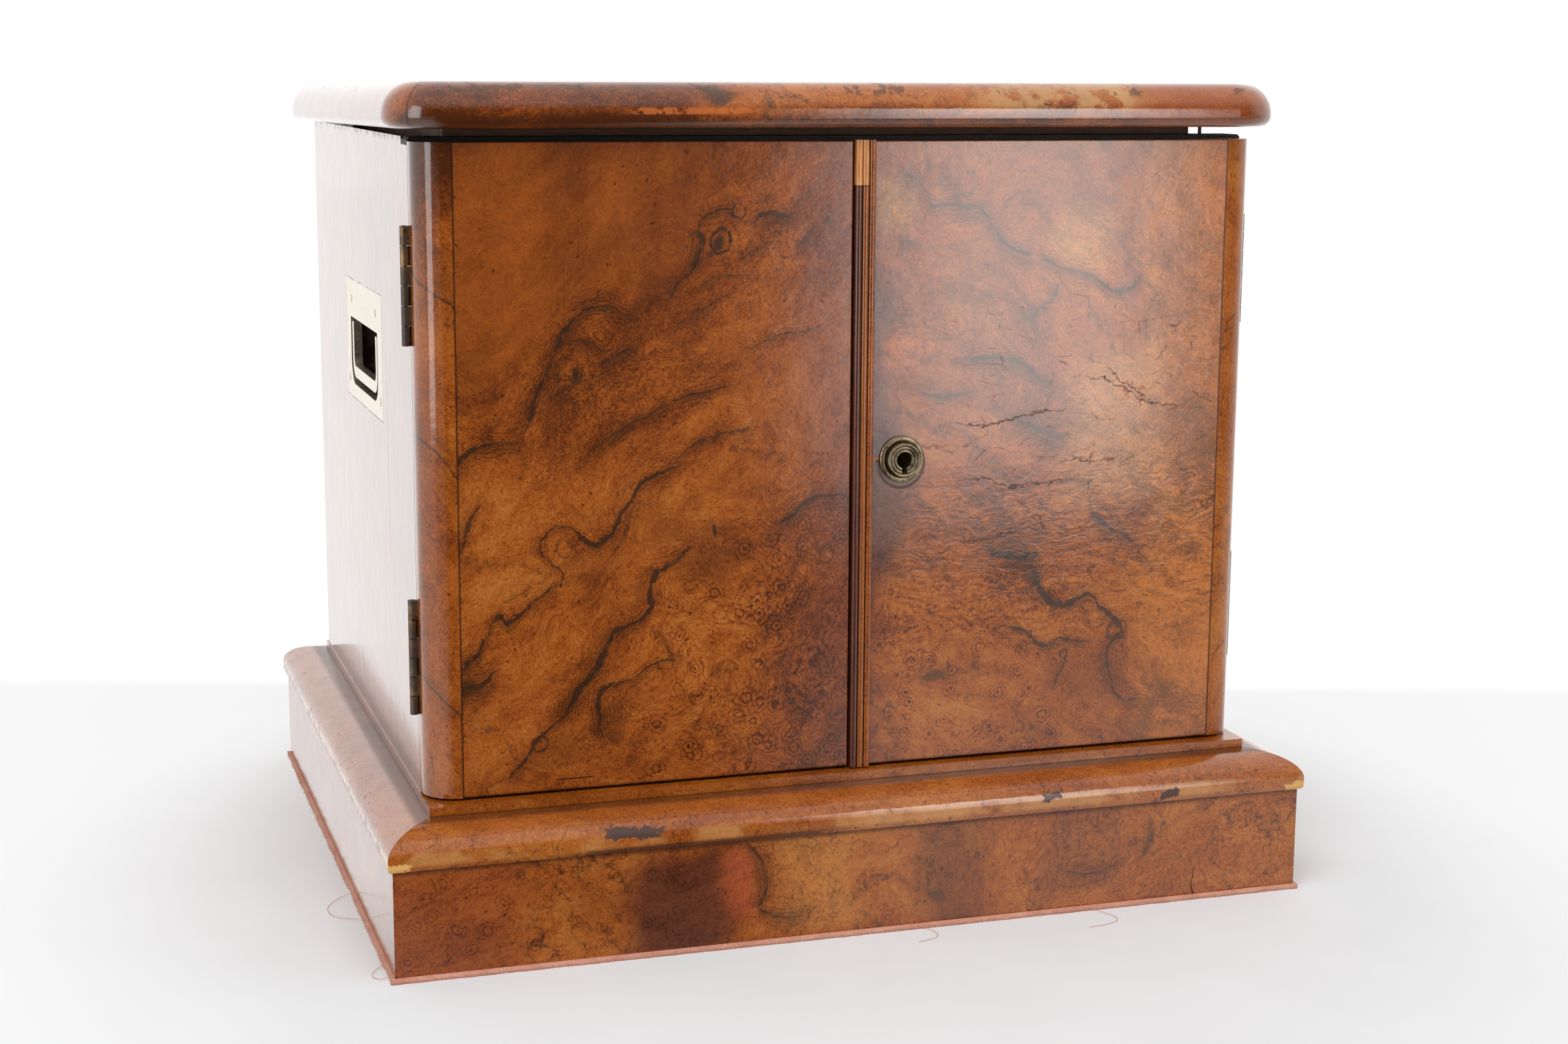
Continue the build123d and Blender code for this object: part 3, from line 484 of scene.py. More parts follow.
    def whorl(self, centre, reach, strength=1.0, turns=5.0):
        """Thin rings of figure round one centre."""
        place = self.centred(centre)
        self.tone, = self.use(whorl_sums, *place, *reach, strength, turns, self.ragged, self.nib, self.tone)

    def area(self, x_span, z_span, soft):
        x, _, z = self.drift
        return self.use(area_sums, x, z, *x_span, *z_span, soft)[0]

    def patch(self, x_span, z_span, colour, strength, soft=1.0):
        """A soft-edged area of another tone."""
        self.stains.append((x_span, z_span, soft, strength, colour))

    def shade(self, x_span, z_span, amount, soft=1.0):
        """A soft-edged area that is lighter or darker."""
        self.tone = self.tone + self.area(x_span, z_span, soft) * amount

    def eyes(self, where, scale=1.3, strength=1.0):
        """Crowded small eyes: rings round a dark pip, and loose pips between them."""
        cell = self.cells(self.drawn, scale)
        wavy = cell * 34.0 + self.ragged * 2.0 + (self.mottle - 0.5) * 14.0
        rings = wavy.sine().rise(-0.1, 1.0) * cell.fall(0.25, 0.60)
        self.tone = self.tone - rings * where * (0.15 * strength)
        pips = (cell + self.ragged * 0.05).fall(0.03, 0.10)
        self.add_ink(pips * where * (0.70 * strength))
        small = self.cells(self.drawn, scale * 3.1) + self.ragged * 0.12
        dense = self.mottle.rise(0.47, 0.58)
        self.tone = self.tone - small.fall(0.06, 0.20) * dense * where * (0.30 * strength)

    def wild_ink(self, strength, threshold=0.010, scale=0.24, where=None):
        """Dark lines that wander with the figure."""
        field = self.cloud(self.flow, scale, 5.0, 0.6)
        near = abs(field - 0.5) + self.ragged * 0.006
        place = self.cloud(self.here, 0.19, 1.0).rise(0.46, 0.58)
        if where is not None:
            place = place * where
        core = near.fall(threshold * 0.2, threshold * 1.4)
        self.add_ink(core * place * self.nib.rise(0.36, 0.54) * strength)
        self.add_veil(near.fall(0.0, threshold * 6.0) * place * (strength * 0.8))

    def cracks(self, where, strength=0.8, squeeze=3.5, scale=0.42, width=0.020):
        """Hair cracks in the polish, mostly along X."""
        bent = self.swirl(self.here, 1.3, 0.25, 4.0)
        edge = self.cells(self.stretch(bent, (1.0, 1.0, squeeze)), scale, "DISTANCE_TO_EDGE")
        broken = self.cloud(self.here, 1.5, 2.0).rise(0.48, 0.60)
        mask = edge.fall(width * 0.3, width) * where * broken
        self.damage_and_painted_shade(mask * strength, CRACK)

    def crack(self, points, strength=0.9, width=0.038):
        """One crack in the polish."""
        x, y, z = self.drawn_parts
        jagged = z + (self.cloud(self.here, 3.5, 3.0, 0.7) - 0.5) * 0.55
        drawn = self.stroke(points, "x", (x, y, jagged))
        mask, = self.use(crack_sums, *drawn, self.nib, width, strength)
        self.damage_and_painted_shade(mask, CRACK)

    def ripples(self, where, strength=1.0):
        """Fine wavy wrinkles, mostly along X, as in a burr's curly part."""
        bent = self.swirl(self.here, 0.8, 0.55, 2.0)
        wave = self.cloud(self.stretch(bent, (0.9, 1.0, 5.5)), 1.5, 3.0, 0.6)
        self.tone = self.tone + (wave - 0.5) * where * (0.95 * strength)
        self.relief = self.relief + (wave - 0.5) * where * 0.16

    def pores(self, strength=0.5):
        """Short dark flecks, and darker pips where the burr is dense."""
        flecks = self.cloud(self.join(self.across * 14.0, self.along * 5.0, self.y * 8.0), 1.0, 2.0, 0.6)
        fleck = flecks.rise(0.62, 0.72)
        pips = self.cells(self.flow, 1.9) + self.ragged * 0.08
        dense = self.cloud(self.here, 0.33, 2.0).rise(0.50, 0.60)
        self.tone = self.tone - fleck * (0.26 * strength)
        self.tone = self.tone - pips.fall(0.06, 0.16) * dense * (0.34 * strength)

    def damage_and_painted_shade(self, mask, colour):
        """A chip, crack or rubbed place, or a painted shadow line, with its own colour and no polish."""
        self.patches.append((mask, colour))
        self.matte = mask.highest(self.matte)

    def line(self, mask, strength=0.85):
        """A dark joint or crack, or a painted shadow line in a crease."""
        self.damage_and_painted_shade(mask * strength, (0.018, 0.008, 0.005))

    def polished(self, roughness=0.26, coat=0.9, coat_roughness=0.085):
        """Ends the material with French polish over the wood."""
        patchy = (self.fine * 0.5 + self.mottle * 0.5).rise(0.43, 0.58) * 0.60 + 0.36
        veil = patchy * self.veil
        tone = self.tone - veil * 0.11
        colour = self.ramp(tone, (0.27, DEEP), (0.42, BROWN), (0.58, ORANGE), (0.78, HONEY))
        colour = self.mix(veil * 0.54, colour, VEIL)
        if isinstance(self.ink, Number):
            colour = self.mix(self.ink.rise(0.04, 0.85) * 0.86, colour, INK)
        grain = tone.rise(0.34, 0.68)
        for x_span, z_span, soft, strength, stain in self.stains:
            dark, light = ([value * share for value in stain] for share in (0.55, 1.35))
            mask = self.area(x_span, z_span, soft) * strength
            colour = self.mix(mask, colour, self.mix(grain, dark, light))
        for mask, other in self.patches:
            colour = self.mix(mask, colour, other)
        worn = self.cloud(self.here, 0.6, 4.0, 0.6)
        skin = self.cloud(self.here, 0.85, 3.0, 0.55)
        rough = worn * 0.16 + (roughness - 0.08) + self.fine * 0.04
        uneven = self.bump(self.relief * 0.55 + skin * 0.15, 0.6)
        return self.surface(
            Base_Color=colour,
            Roughness=rough,
            IOR=1.45,
            Specular_IOR_Level=0.16,
            Coat_Weight=(1.0 - self.matte * 0.85) * coat,
            Coat_Roughness=coat_roughness,
            Coat_IOR=1.50,
            Normal=uneven,
            Coat_Normal=uneven,
        )


DIAGONAL_RUN = (0.74, 0.0, 0.67)
DIAGONAL_RISE = (-0.67, 0.0, 0.74)


def left_door_burr():
    wood = Burr("burr_left_door", DIAGONAL_RUN, DIAGONAL_RISE, figure=1.25)
    x, _, z = wood.drift
    # Plain wood high on the left, with faint upright bands, and plum-brown wood beside the astragal
    plain = (z * 1.0 - x * 0.35).rise(26.5, 29.5) * x.fall(-7.5, -4.5)
    wood.calmed(plain, 0.55)
    upright = wood.cloud(wood.join(wood.x * 0.85, wood.y, wood.z * 0.05), 1.0, 3.0, 0.6)
    wood.tone = wood.tone + (upright - 0.5) * wood.z.rise(19.0, 27.0) * 0.13
    wood.shade((-13.2, -10.6), (27.0, 33.0), -0.035, 0.6)
    wood.shade((-9.5, -3.5), (28.0, 33.0), -0.02, 1.5)
    wood.shade((-16.5, -3.0), (5.0, 19.0), 0.075, 2.0)
    wood.shade((-16.5, -7.0), (21.0, 33.0), -0.030, 2.0)
    wood.patch((-2.2, 1.0), (8.0, 32.0), PLUM, 0.40, 1.3)
    wood.pores(0.7)
    # The eye and the contours round it, high on the right
    wood.vein(
        ((-7.9, 25.0), (-7.4, 26.3), (-6.8, 26.9), (-6.5, 27.7), (-6.6, 28.5)),
        0.10, 0.8, "z", 0.9, (0.35, 0.05),
    )
    wood.vein(
        ((-6.7, 28.3), (-6.2, 29.0), (-5.4, 29.15), (-4.9, 28.8)),
        0.08, 0.65, "x", 0.8, (0.05, 0.3),
    )
    wood.whorl((-5.65, 27.95), (1.5, 1.3), 0.9, 4.0)
    wood.spot((-5.75, 27.9), (0.34, 0.36), 0.80)
    wood.ring((-5.65, 27.95), 0.46, 0.050, 0.95)
    wood.ring((-4.9, 29.05), 0.26, 0.045, 0.75)
    wood.vein(((-4.8, 28.2), (-3.8, 28.9), (-2.9, 28.8), (-2.2, 27.9)), 0.12, 0.7, "x", 1.0)
    wood.vein(((-5.2, 27.0), (-4.2, 27.5), (-3.4, 27.9), (-2.6, 27.3)), 0.10, 0.5, "x", 1.0)
    wood.vein(((-3.0, 27.3), (-2.2, 28.0), (-1.5, 28.6), (-0.4, 29.3)), 0.16, 0.6, "x", 1.0)
    wood.whorl((-3.3, 27.6), (1.5, 1.2), 0.7, 4.0)
    # The arch over the small knot in the middle
    wood.vein(
        ((-13.6, 20.0), (-13.2, 21.6), (-12.8, 22.6), (-12.3, 23.7), (-12.0, 24.6)),
        0.09, 0.75, "z", 0.9, (0.35, 0.04),
    )
    wood.vein(
        ((-12.15, 24.4), (-11.5, 25.0), (-10.6, 25.45), (-9.8, 25.3), (-8.7, 24.6)),
        0.09, 0.9, "x", 0.7, (0.04, 0.35),
    )
    wood.vein(((-12.0, 25.1), (-11.2, 25.6), (-10.2, 25.9), (-9.2, 25.6)), 0.09, 0.5, "x", 0.7)
    wood.vein(
        ((-13.0, 20.4), (-12.7, 21.5), (-11.9, 22.1), (-11.3, 21.6), (-10.9, 20.7)),
        0.07, 0.5, "x", 0.8,
    )
    wood.vein(((-12.2, 23.6), (-11.6, 24.2), (-10.6, 23.9), (-9.9, 22.4)), 0.07, 0.5, "x", 0.8)
    wood.spot((-11.45, 22.9), (0.17, 0.30), 0.9)
    wood.ring((-11.45, 22.85), 0.26, 0.035, 0.7)
    wood.whorl((-11.5, 23.0), (1.3, 1.5), 0.7, 4.0)
    wood.smoke((-12.4, 22.4), (0.9, 1.7), 0.5)
    wood.vein(((-11.0, 23.1), (-10.2, 23.4), (-9.4, 23.8), (-8.8, 23.6)), 0.15, 0.6, "x", 1.0)
    # Long lines over the middle
    wood.vein(
        ((-12.4, 18.7), (-10.6, 20.1), (-9.2, 20.9), (-8.1, 21.5), (-6.6, 22.0), (-4.1, 22.4)),
        0.09, 0.75, "x", 1.0,
    )
    wood.vein(
        ((-7.9, 18.9), (-7.0, 19.8), (-6.2, 20.2), (-4.8, 20.5), (-3.0, 20.6)),
        0.09, 0.6, "x", 0.9, (0.05, 0.4),
    )
    wood.vein(((-5.6, 23.0), (-3.2, 24.2), (-2.2, 24.4), (-0.6, 24.8)), 0.08, 0.65, "x", 0.7)
    wood.vein(((-8.6, 24.0), (-7.0, 25.0), (-6.0, 25.5), (-4.0, 26.6)), 0.08, 0.5, "x", 0.9)
    wood.vein(((-8.0, 25.2), (-6.6, 26.2), (-5.2, 26.6), (-3.0, 26.2)), 0.07, 0.45, "x", 0.9)
    wood.vein(
        ((-16.3, 19.3), (-15.8, 19.9), (-15.2, 20.2), (-13.0, 20.2)),
        0.10, 0.95, "x", 0.9, (0.001, 0.5),
    )
    # The loop on the left, and the line that leads into it
    wood.vein(
        (
            (-16.3, 11.5), (-15.6, 12.0), (-15.1, 12.8), (-14.6, 13.6), (-14.2, 13.3), (-13.4, 13.9),
            (-12.1, 14.8),
        ),
        0.11, 0.95, "x", 0.9, (0.05, 0.05),
    )
    wood.vein(
        ((-12.15, 14.5), (-12.1, 15.2), (-12.5, 15.6), (-12.95, 16.0), (-12.8, 16.7)),
        0.09, 1.0, "z", 0.6, (0.04, 0.04),
    )
    wood.vein(
        ((-12.9, 16.5), (-12.4, 16.95), (-11.8, 16.95), (-11.3, 16.4), (-10.5, 16.1)),
        0.09, 1.0, "x", 0.6, (0.04, 0.1),
    )
    wood.vein(
        ((-10.9, 16.0), (-10.0, 16.8), (-9.5, 17.6), (-9.0, 18.4), (-8.2, 18.9), (-6.6, 19.3)),
        0.15, 0.85, "x", 1.0, (0.05, 0.35),
    )
    wood.vein(((-10.6, 15.2), (-9.8, 16.1), (-9.3, 17.2), (-8.9, 18.0)), 0.10, 0.6, "z", 1.0)
    wood.ring((-12.0, 16.1), 0.30, 0.035, 0.55)
    wood.spot((-11.6, 16.15), (0.18, 0.18), 0.45)
    wood.smoke((-11.0, 15.4), (1.3, 1.0), 0.45)
    # The long diagonal from the bottom left to the middle
    wood.vein(
        ((-14.6, 6.9), (-13.8, 7.5), (-13.3, 8.3), (-12.7, 8.9), (-11.8, 9.5)),
        0.12, 0.9, "x", 1.0, (0.2, 0.04),
    )
    wood.vein(
        ((-11.95, 9.3), (-11.6, 10.2), (-11.0, 10.8), (-10.6, 11.6), (-10.2, 12.3), (-9.7, 12.9)),
        0.16, 1.0, "z", 1.0, (0.04, 0.04),
    )
    wood.vein(
        ((-9.95, 12.6), (-9.4, 12.95), (-8.9, 13.1), (-8.3, 13.8)),
        0.11, 1.0, "x", 0.8, (0.04, 0.05),
    )
    wood.vein(((-8.4, 13.6), (-8.5, 14.4), (-8.1, 15.2)), 0.16, 0.8, "z", 1.0, (0.05, 0.05))
    wood.vein(((-8.4, 15.0), (-7.7, 15.3), (-7.0, 15.8), (-6.5, 16.2)), 0.09, 0.8, "x", 0.8, (0.05, 0.3))
    wood.vein(((-10.5, 8.0), (-10.6, 9.3), (-10.6, 10.0), (-9.9, 10.7)), 0.11, 0.9, "z", 0.9, (0.3, 0.04))
    wood.vein(((-10.2, 10.4), (-9.2, 10.8), (-8.3, 11.3), (-6.6, 11.2)), 0.09, 0.7, "x", 0.8, (0.04, 0.4))
    wood.vein(
        ((-16.3, 10.0), (-15.9, 10.8), (-15.4, 10.9), (-14.4, 11.8)),
        0.20, 0.95, "x", 1.0, (0.001, 0.4),
    )
    wood.vein(((-16.2, 15.6), (-15.8, 17.1), (-15.4, 17.8), (-14.9, 18.6)), 0.10, 0.7, "z", 1.0)
    wood.vein(((-8.5, 13.0), (-7.9, 12.1), (-7.2, 11.0)), 0.09, 0.6, "z", 0.9)
    wood.vein(
        ((-3.8, 16.4), (-2.6, 17.0), (-1.8, 17.6), (-0.2, 17.6)),
        0.13, 0.85, "x", 1.0, (0.3, 0.001),
    )
    wood.smoke((-6.4, 15.6), (1.7, 1.5), 0.85)
    wood.smoke((-7.9, 16.6), (1.0, 1.0), 0.6)
    wood.smoke((-9.0, 17.4), (1.3, 0.9), 0.5)
    wood.spot((-5.9, 16.55), (0.12, 0.32), 0.85)
    wood.spot((-15.9, 10.8), (0.8, 0.45), 0.55)
    wood.smoke((-12.6, 8.0), (1.5, 0.8), 0.55)
    wood.smoke((-10.2, 9.0), (0.7, 1.2), 0.6)
    # Crowded eyes at the lower right
    crowded = (z - x * 0.25).fall(15.5, 20.0) * (x - z * 0.2).rise(-12.0, -9.0)
    wood.eyes(crowded, 1.05, 1.4)
    wood.whorl((-1.75, 10.3), (1.35, 2.0), 1.8, 4.0)
    wood.whorl((-4.2, 13.5), (1.2, 1.2), 1.5, 4.0)
    wood.whorl((-3.0, 15.4), (0.9, 0.9), 0.8, 3.0)
    wood.whorl((-2.9, 18.6), (1.0, 0.9), 0.8, 3.0)
    wood.whorl((-5.2, 9.1), (0.9, 0.9), 0.9, 3.0)
    wood.whorl((-8.4, 8.1), (0.8, 0.7), 0.9, 3.0)
    wood.whorl((-6.7, 14.3), (1.0, 0.7), 0.8, 3.0)
    wood.ring((-13.0, 8.35), 0.30, 0.05, 0.7)
    wood.contours(crowded.highest(wood.away((-10.8, 23.6), (3.0, 3.0)).fall(0.4, 1.2)), 0.8)
    wood.wild_ink(0.55, 0.008, 0.26, where=z.fall(18.0, 24.0))
    wood.line(abs(wood.z - 6.85).fall(0.015, 0.04) * wood.x.between(-12.4, -10.9, 0.1))
    wood.crack(((-3.0, 19.5), (-2.0, 19.55), (-1.2, 19.4), (-0.4, 19.3)), 0.6, 0.012)
    return finish_door(wood)


def right_door_burr():
    wood = Burr("burr_right_door", (0.85, 0.0, -0.53), (0.53, 0.0, 0.85), figure=1.25)
    x, _, z = wood.drift
    wood.patch((12.6, 17.5), (5.0, 33.0), (0.42, 0.130, 0.018), 0.60, 0.5)
    wood.patch((-0.5, 2.2), (14.0, 21.0), (0.050, 0.017, 0.012), 0.80, 1.2)
    wood.patch((-0.5, 1.6), (20.0, 27.0), (0.075, 0.024, 0.020), 0.75, 0.9)
    wood.patch((-0.5, 1.2), (5.0, 15.0), (0.120, 0.026, 0.012), 0.60, 0.8)
    wood.patch((9.4, 13.4), (16.5, 23.5), (0.42, 0.19, 0.060), 0.50, 1.0)
    wood.patch((8.8, 11.4), (26.4, 28.8), (0.42, 0.17, 0.030), 0.60, 0.6)
    wood.patch((0.8, 2.2), (28.4, 30.4), (0.36, 0.15, 0.030), 0.70, 0.5)
    wood.patch((1.3, 2.6), (22.6, 24.0), (0.34, 0.085, 0.020), 0.75, 0.4)
    wood.patch((3.6, 6.4), (23.6, 27.0), (0.34, 0.105, 0.020), 0.45, 0.8)
    wood.shade((1.0, 13.0), (4.5, 14.0), 0.090, 1.5)
    wood.pores(0.8)
    wood.vein(
        ((1.3, 30.6), (2.3, 30.3), (2.8, 29.8), (3.2, 29.3), (4.3, 29.2), (5.2, 29.0)),
        0.15, 0.9, "x", 1.0, (0.2, 0.04),
    )
    wood.vein(
        ((5.0, 29.1), (5.6, 28.6), (5.9, 28.1), (6.7, 27.4), (7.8, 27.2)),
        0.18, 0.9, "x", 1.0, (0.04, 0.2),
    )
    wood.vein(
        ((7.5, 27.2), (8.9, 26.6), (10.2, 26.2), (11.6, 25.6), (12.2, 26.0), (13.0, 26.6)),
        0.11, 0.9, "x", 1.0, (0.1, 0.2),
    )
    wood.vein(((7.2, 24.2), (7.9, 25.0), (8.6, 25.6), (8.2, 26.4)), 0.13, 0.7, "z", 1.0)
    wood.vein(
        ((3.4, 23.1), (5.4, 23.0), (6.8, 22.9), (7.3, 22.7), (8.1, 22.0), (9.4, 21.6)),
        0.13, 0.85, "x", 1.0,
    )
    wood.vein(((6.2, 20.8), (7.4, 20.3), (8.5, 19.8), (9.4, 19.8), (9.8, 20.5)), 0.14, 0.8, "x", 1.0)
    wood.vein(((2.2, 22.2), (3.2, 21.6), (4.6, 21.6), (5.8, 21.9)), 0.12, 0.6, "x", 1.0)
    wood.vein(((12.6, 23.2), (12.8, 24.4), (13.1, 25.4)), 0.10, 0.6, "z", 0.8)
    wood.ring((13.2, 23.7), 0.42, 0.05, 0.6)
    wood.vein(
        ((9.5, 18.1), (10.2, 17.2), (10.5, 16.4), (11.2, 15.8), (12.0, 15.3), (12.9, 14.5), (13.4, 13.4)),
        0.16, 0.9, "x", 1.0,
    )
    wood.vein(((13.25, 13.8), (13.4, 13.2), (13.8, 12.4)), 0.14, 0.6, "z", 1.0)
    wood.vein(((5.3, 15.4), (6.4, 14.9), (7.2, 14.7), (8.1, 14.7)), 0.18, 0.9, "x", 1.0, (0.3, 0.04))
    wood.vein(((7.95, 14.9), (7.9, 13.9), (8.3, 13.1), (8.9, 12.5)), 0.17, 1.0, "z", 1.0, (0.04, 0.04))
    wood.vein(
        ((8.6, 12.6), (9.4, 12.6), (10.4, 12.95), (10.9, 12.3), (11.6, 11.8), (12.1, 11.1)),
        0.13, 1.0, "x", 0.9, (0.04, 0.04),
    )
    wood.vein(
        ((11.95, 11.3), (11.6, 10.8), (11.3, 10.3), (11.4, 9.6), (11.7, 8.5)),
        0.13, 1.0, "z", 1.0, (0.04, 0.04),
    )
    wood.vein(((11.6, 8.7), (12.4, 8.2), (13.0, 8.3), (13.6, 7.9)), 0.12, 0.9, "x", 1.0, (0.04, 0.04))
    wood.vein(((13.5, 8.1), (13.2, 7.3), (12.9, 6.4)), 0.15, 0.95, "z", 1.0, (0.001, 0.04))
    wood.vein(
        ((5.5, 11.9), (6.7, 11.8), (7.8, 11.4), (8.4, 10.9), (9.2, 11.1), (10.0, 11.0), (11.2, 10.8)),
        0.09, 0.8, "x", 1.0,
    )
    wood.vein(((9.3, 11.1), (9.4, 10.2), (9.0, 9.4), (8.7, 8.6)), 0.11, 0.7, "z", 1.0)
    wood.vein(((10.0, 12.9), (10.3, 12.0), (10.9, 11.2)), 0.08, 0.6, "z", 0.9)
    wood.spot((14.0, 8.5), (0.30, 0.30), 0.9)
    wood.spot((12.9, 6.9), (0.55, 0.6), 0.6)
    wood.ring((13.4, 9.1), 0.38, 0.07, 0.8)
    wood.ring((14.5, 6.75), 0.48, 0.08, 0.85)
    wood.ring((11.75, 11.35), 0.42, 0.06, 0.6)
    wood.ring((8.9, 13.1), 0.35, 0.05, 0.6)
    wood.smoke((11.0, 9.6), (1.6, 1.8), 0.6)
    wood.smoke((8.8, 10.2), (0.9, 1.2), 0.5)
    wood.smoke((12.6, 7.2), (1.3, 0.8), 0.6)
    wood.smoke((6.8, 15.4), (1.8, 0.9), 0.6)
    wood.smoke((2.2, 22.1), (1.6, 0.7), 0.6)
    wood.smoke((7.6, 20.2), (1.8, 0.7), 0.5)
    wood.spot((3.5, 9.9), (0.85, 0.35), 0.60)
    wood.whorl((2.1, 23.6), (1.5, 1.6), 1.0, 4.0)
    crowded = z.fall(12.0, 15.5) * x.rise(1.0, 2.0) * x.fall(8.0, 12.0)
    wood.eyes(crowded, 1.2, 1.5)
    wood.whorl((2.5, 11.6), (1.6, 1.7), 1.0, 4.0)
    wood.whorl((6.2, 12.9), (1.7, 1.4), 1.2, 5.0)
    wood.whorl((10.9, 13.6), (0.9, 0.8), 1.0, 3.0)
    wood.whorl((9.6, 13.7), (0.8, 0.7), 0.8, 3.0)
    wood.whorl((9.4, 21.0), (2.0, 1.5), 0.8, 4.0)
    curly = x.rise(0.5, 3.0) * z.between(11.5, 18.5, 1.3)
    wood.ripples(curly * 0.8, 1.0)
    wood.wild_ink(0.6, 0.008, 0.26)
    crazed = wood.x.rise(1.5, 5.0) * wood.z.between(12.5, 26.0, 2.5)
    wood.cracks(crazed, 0.6)
    wood.crack(
        ((3.7, 20.5), (4.6, 20.4), (5.4, 20.3), (6.3, 20.45), (7.4, 20.6), (8.4, 20.75), (9.6, 20.8)),
    )
    wood.crack(((4.3, 18.0), (5.6, 18.1), (6.5, 17.75), (7.6, 17.8), (8.5, 17.75), (9.8, 17.9)), 0.8)
    wood.crack(((8.6, 18.6), (9.8, 18.7), (10.8, 18.6), (11.9, 18.8)), 0.7)
    wood.crack(((9.2, 22.2), (10.4, 22.1), (11.5, 21.7), (12.5, 21.1), (13.4, 20.85), (15.1, 20.8)), 0.9)
    wood.crack(((10.7, 22.6), (11.5, 22.0), (12.3, 21.4), (13.1, 21.0)), 0.9)
    wood.crack(((4.3, 15.6), (5.4, 15.5), (6.6, 15.7), (7.6, 15.9)), 0.7)
    wood.crack(((1.9, 19.3), (2.8, 19.5), (3.9, 19.4)), 0.5)
    chipped = wood.away((12.2, 21.5), (0.9, 0.55)).fall(0.2, 1.0)
    chips = (wood.cloud(wood.here, 5.0, 3.0, 0.7)).rise(0.52, 0.58) * chipped
    wood.damage_and_painted_shade(chips * 0.8, (0.34, 0.080, 0.022))
    slanting = wood.drawn_parts[2] - wood.x * 0.08
    chip = wood.x.between(0.62, 1.12, 0.05) * slanting.between(18.93, 19.08, 0.04)
    wood.damage_and_painted_shade(chip, (0.40, 0.10, 0.030))
    wood.line(wood.x.between(0.85, 1.15, 0.05) * abs(wood.z - 19.0).fall(0.03, 0.08), 0.9)
    # A dark ring on the wood round the key nozzle's flange
    dark_ring_round_nozzle = (abs(((wood.x - 1.95) ** 2.0 + (wood.z - 18.85) ** 2.0) ** 0.5 - 0.97)).fall(0.02, 0.10)
    wood.line(dark_ring_round_nozzle, 0.7)
    return finish_door(wood)


def finish_door(wood):
    """What both doors share: the dark joints at the stiles, a dark lower edge and a plain inner face."""
    grain = wood.cloud(wood.stretch(wood.here, (2.6, 2.6, 0.32)), 1.6, 4.0, 0.6)
    veneer = wood.ramp(grain, (0.32, (0.110, 0.030, 0.013)), (0.68, (0.250, 0.082, 0.031)))
    wood.patches.append((wood.y.rise(-12.76, -12.70), veneer))
    joint = abs(abs(wood.x) - STILE_JOINT / CM).fall(0.02, 0.055)
    wood.line(joint * wood.y.fall(-13.4, -13.0), 0.75)
    wood.line(wood.z.fall(6.42, 6.55), 0.6)
    return wood.polished(0.26)


def stile_burr():
    """The doors' rounded stiles, dark at the top left and paler on the right door."""
    wood = Burr("burr_stile", (0.1, 0.0, 1.0), (0.7, 0.7, 0.0), 0.8, 0.05)
    z = wood.drift[2]
    left = wood.x.fall(-1.0, 1.0)
    wood.tone = wood.tone - left * z.rise(26.5, 30.5) * 0.26
    wood.tone = wood.tone + (1.0 - left) * 0.07
    wood.pores(0.7)
    for low, high in ((9.6, 11.0), (19.3, 21.0), (25.2, 27.2)):
        lean = z + (wood.x + 17.0) * 0.9
        wood.add_veil(lean.between(low, high, 0.5) * wood.mottle.rise(0.42, 0.56) * left * 0.75)
        wood.add_ink((abs(lean - (low + high) / 2) + wood.ragged * 0.3).fall(0.02, 0.16) * left * 0.6)
    wood.wild_ink(0.55, 0.009, 0.33)
    wood.cracks(wood.z.between(8.0, 24.0, 2.0) * wood.x.rise(0.0, 1.0), 0.5, 6.0)
    joint = abs(abs(wood.x) - STILE_JOINT / CM).fall(0.02, 0.06)
    wood.line(joint * wood.y.fall(-13.4, -13.0), 0.75)
    coat = left * 0.65 + 0.35
    return wood.polished(0.22, coat, 0.07)


def case_burr():
    """The case's sides and back: straighter veneer, redder, with painted shade in the hollow behind each
    handle.
    """
    wood = Burr("burr_case", (0.0, 0.1, 1.0), (0.7, 1.0, 0.0), 0.55)
    wood.pores(0.7)
    wood.wild_ink(0.4, 0.009)
    split = abs(wood.drawn_parts[1] + 6.3).fall(0.012, 0.045) * wood.z.between(14.0, 24.0, 1.5)
    wood.line(split * 0.8)
    worn_edge = wood.z.rise(31.6, 31.85) * wood.cloud(wood.here, 2.0, 3.0).rise(0.50, 0.56)
    wood.line(worn_edge, 0.7)
    # The dark gap round each handle plate, broken where polish has filled it
    low, high = (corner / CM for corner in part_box("left_handle_plate"))
    middle, reach = (low + high) / 2, (high - low) / 2
    beyond = (abs(wood.y - middle.y) - reach.y).highest(abs(wood.z - middle.z) - reach.z)
    gap = abs(beyond - 0.03).fall(0.015, 0.06) * wood.cloud(wood.here, 1.6, 2.0).rise(0.40, 0.50)
    wood.line(gap, 0.9)
    # Painted shade: near-black colour in the hollow behind each handle plate
    painted_recess_shade = abs(wood.x).fall(-high.x - 0.05, -high.x + 0.02) * beyond.fall(-0.15, -0.05)
    wood.patches.append((painted_recess_shade * 0.94, (0.006, 0.004, 0.004)))
    return wood.polished(0.16, 1.0, 0.09)


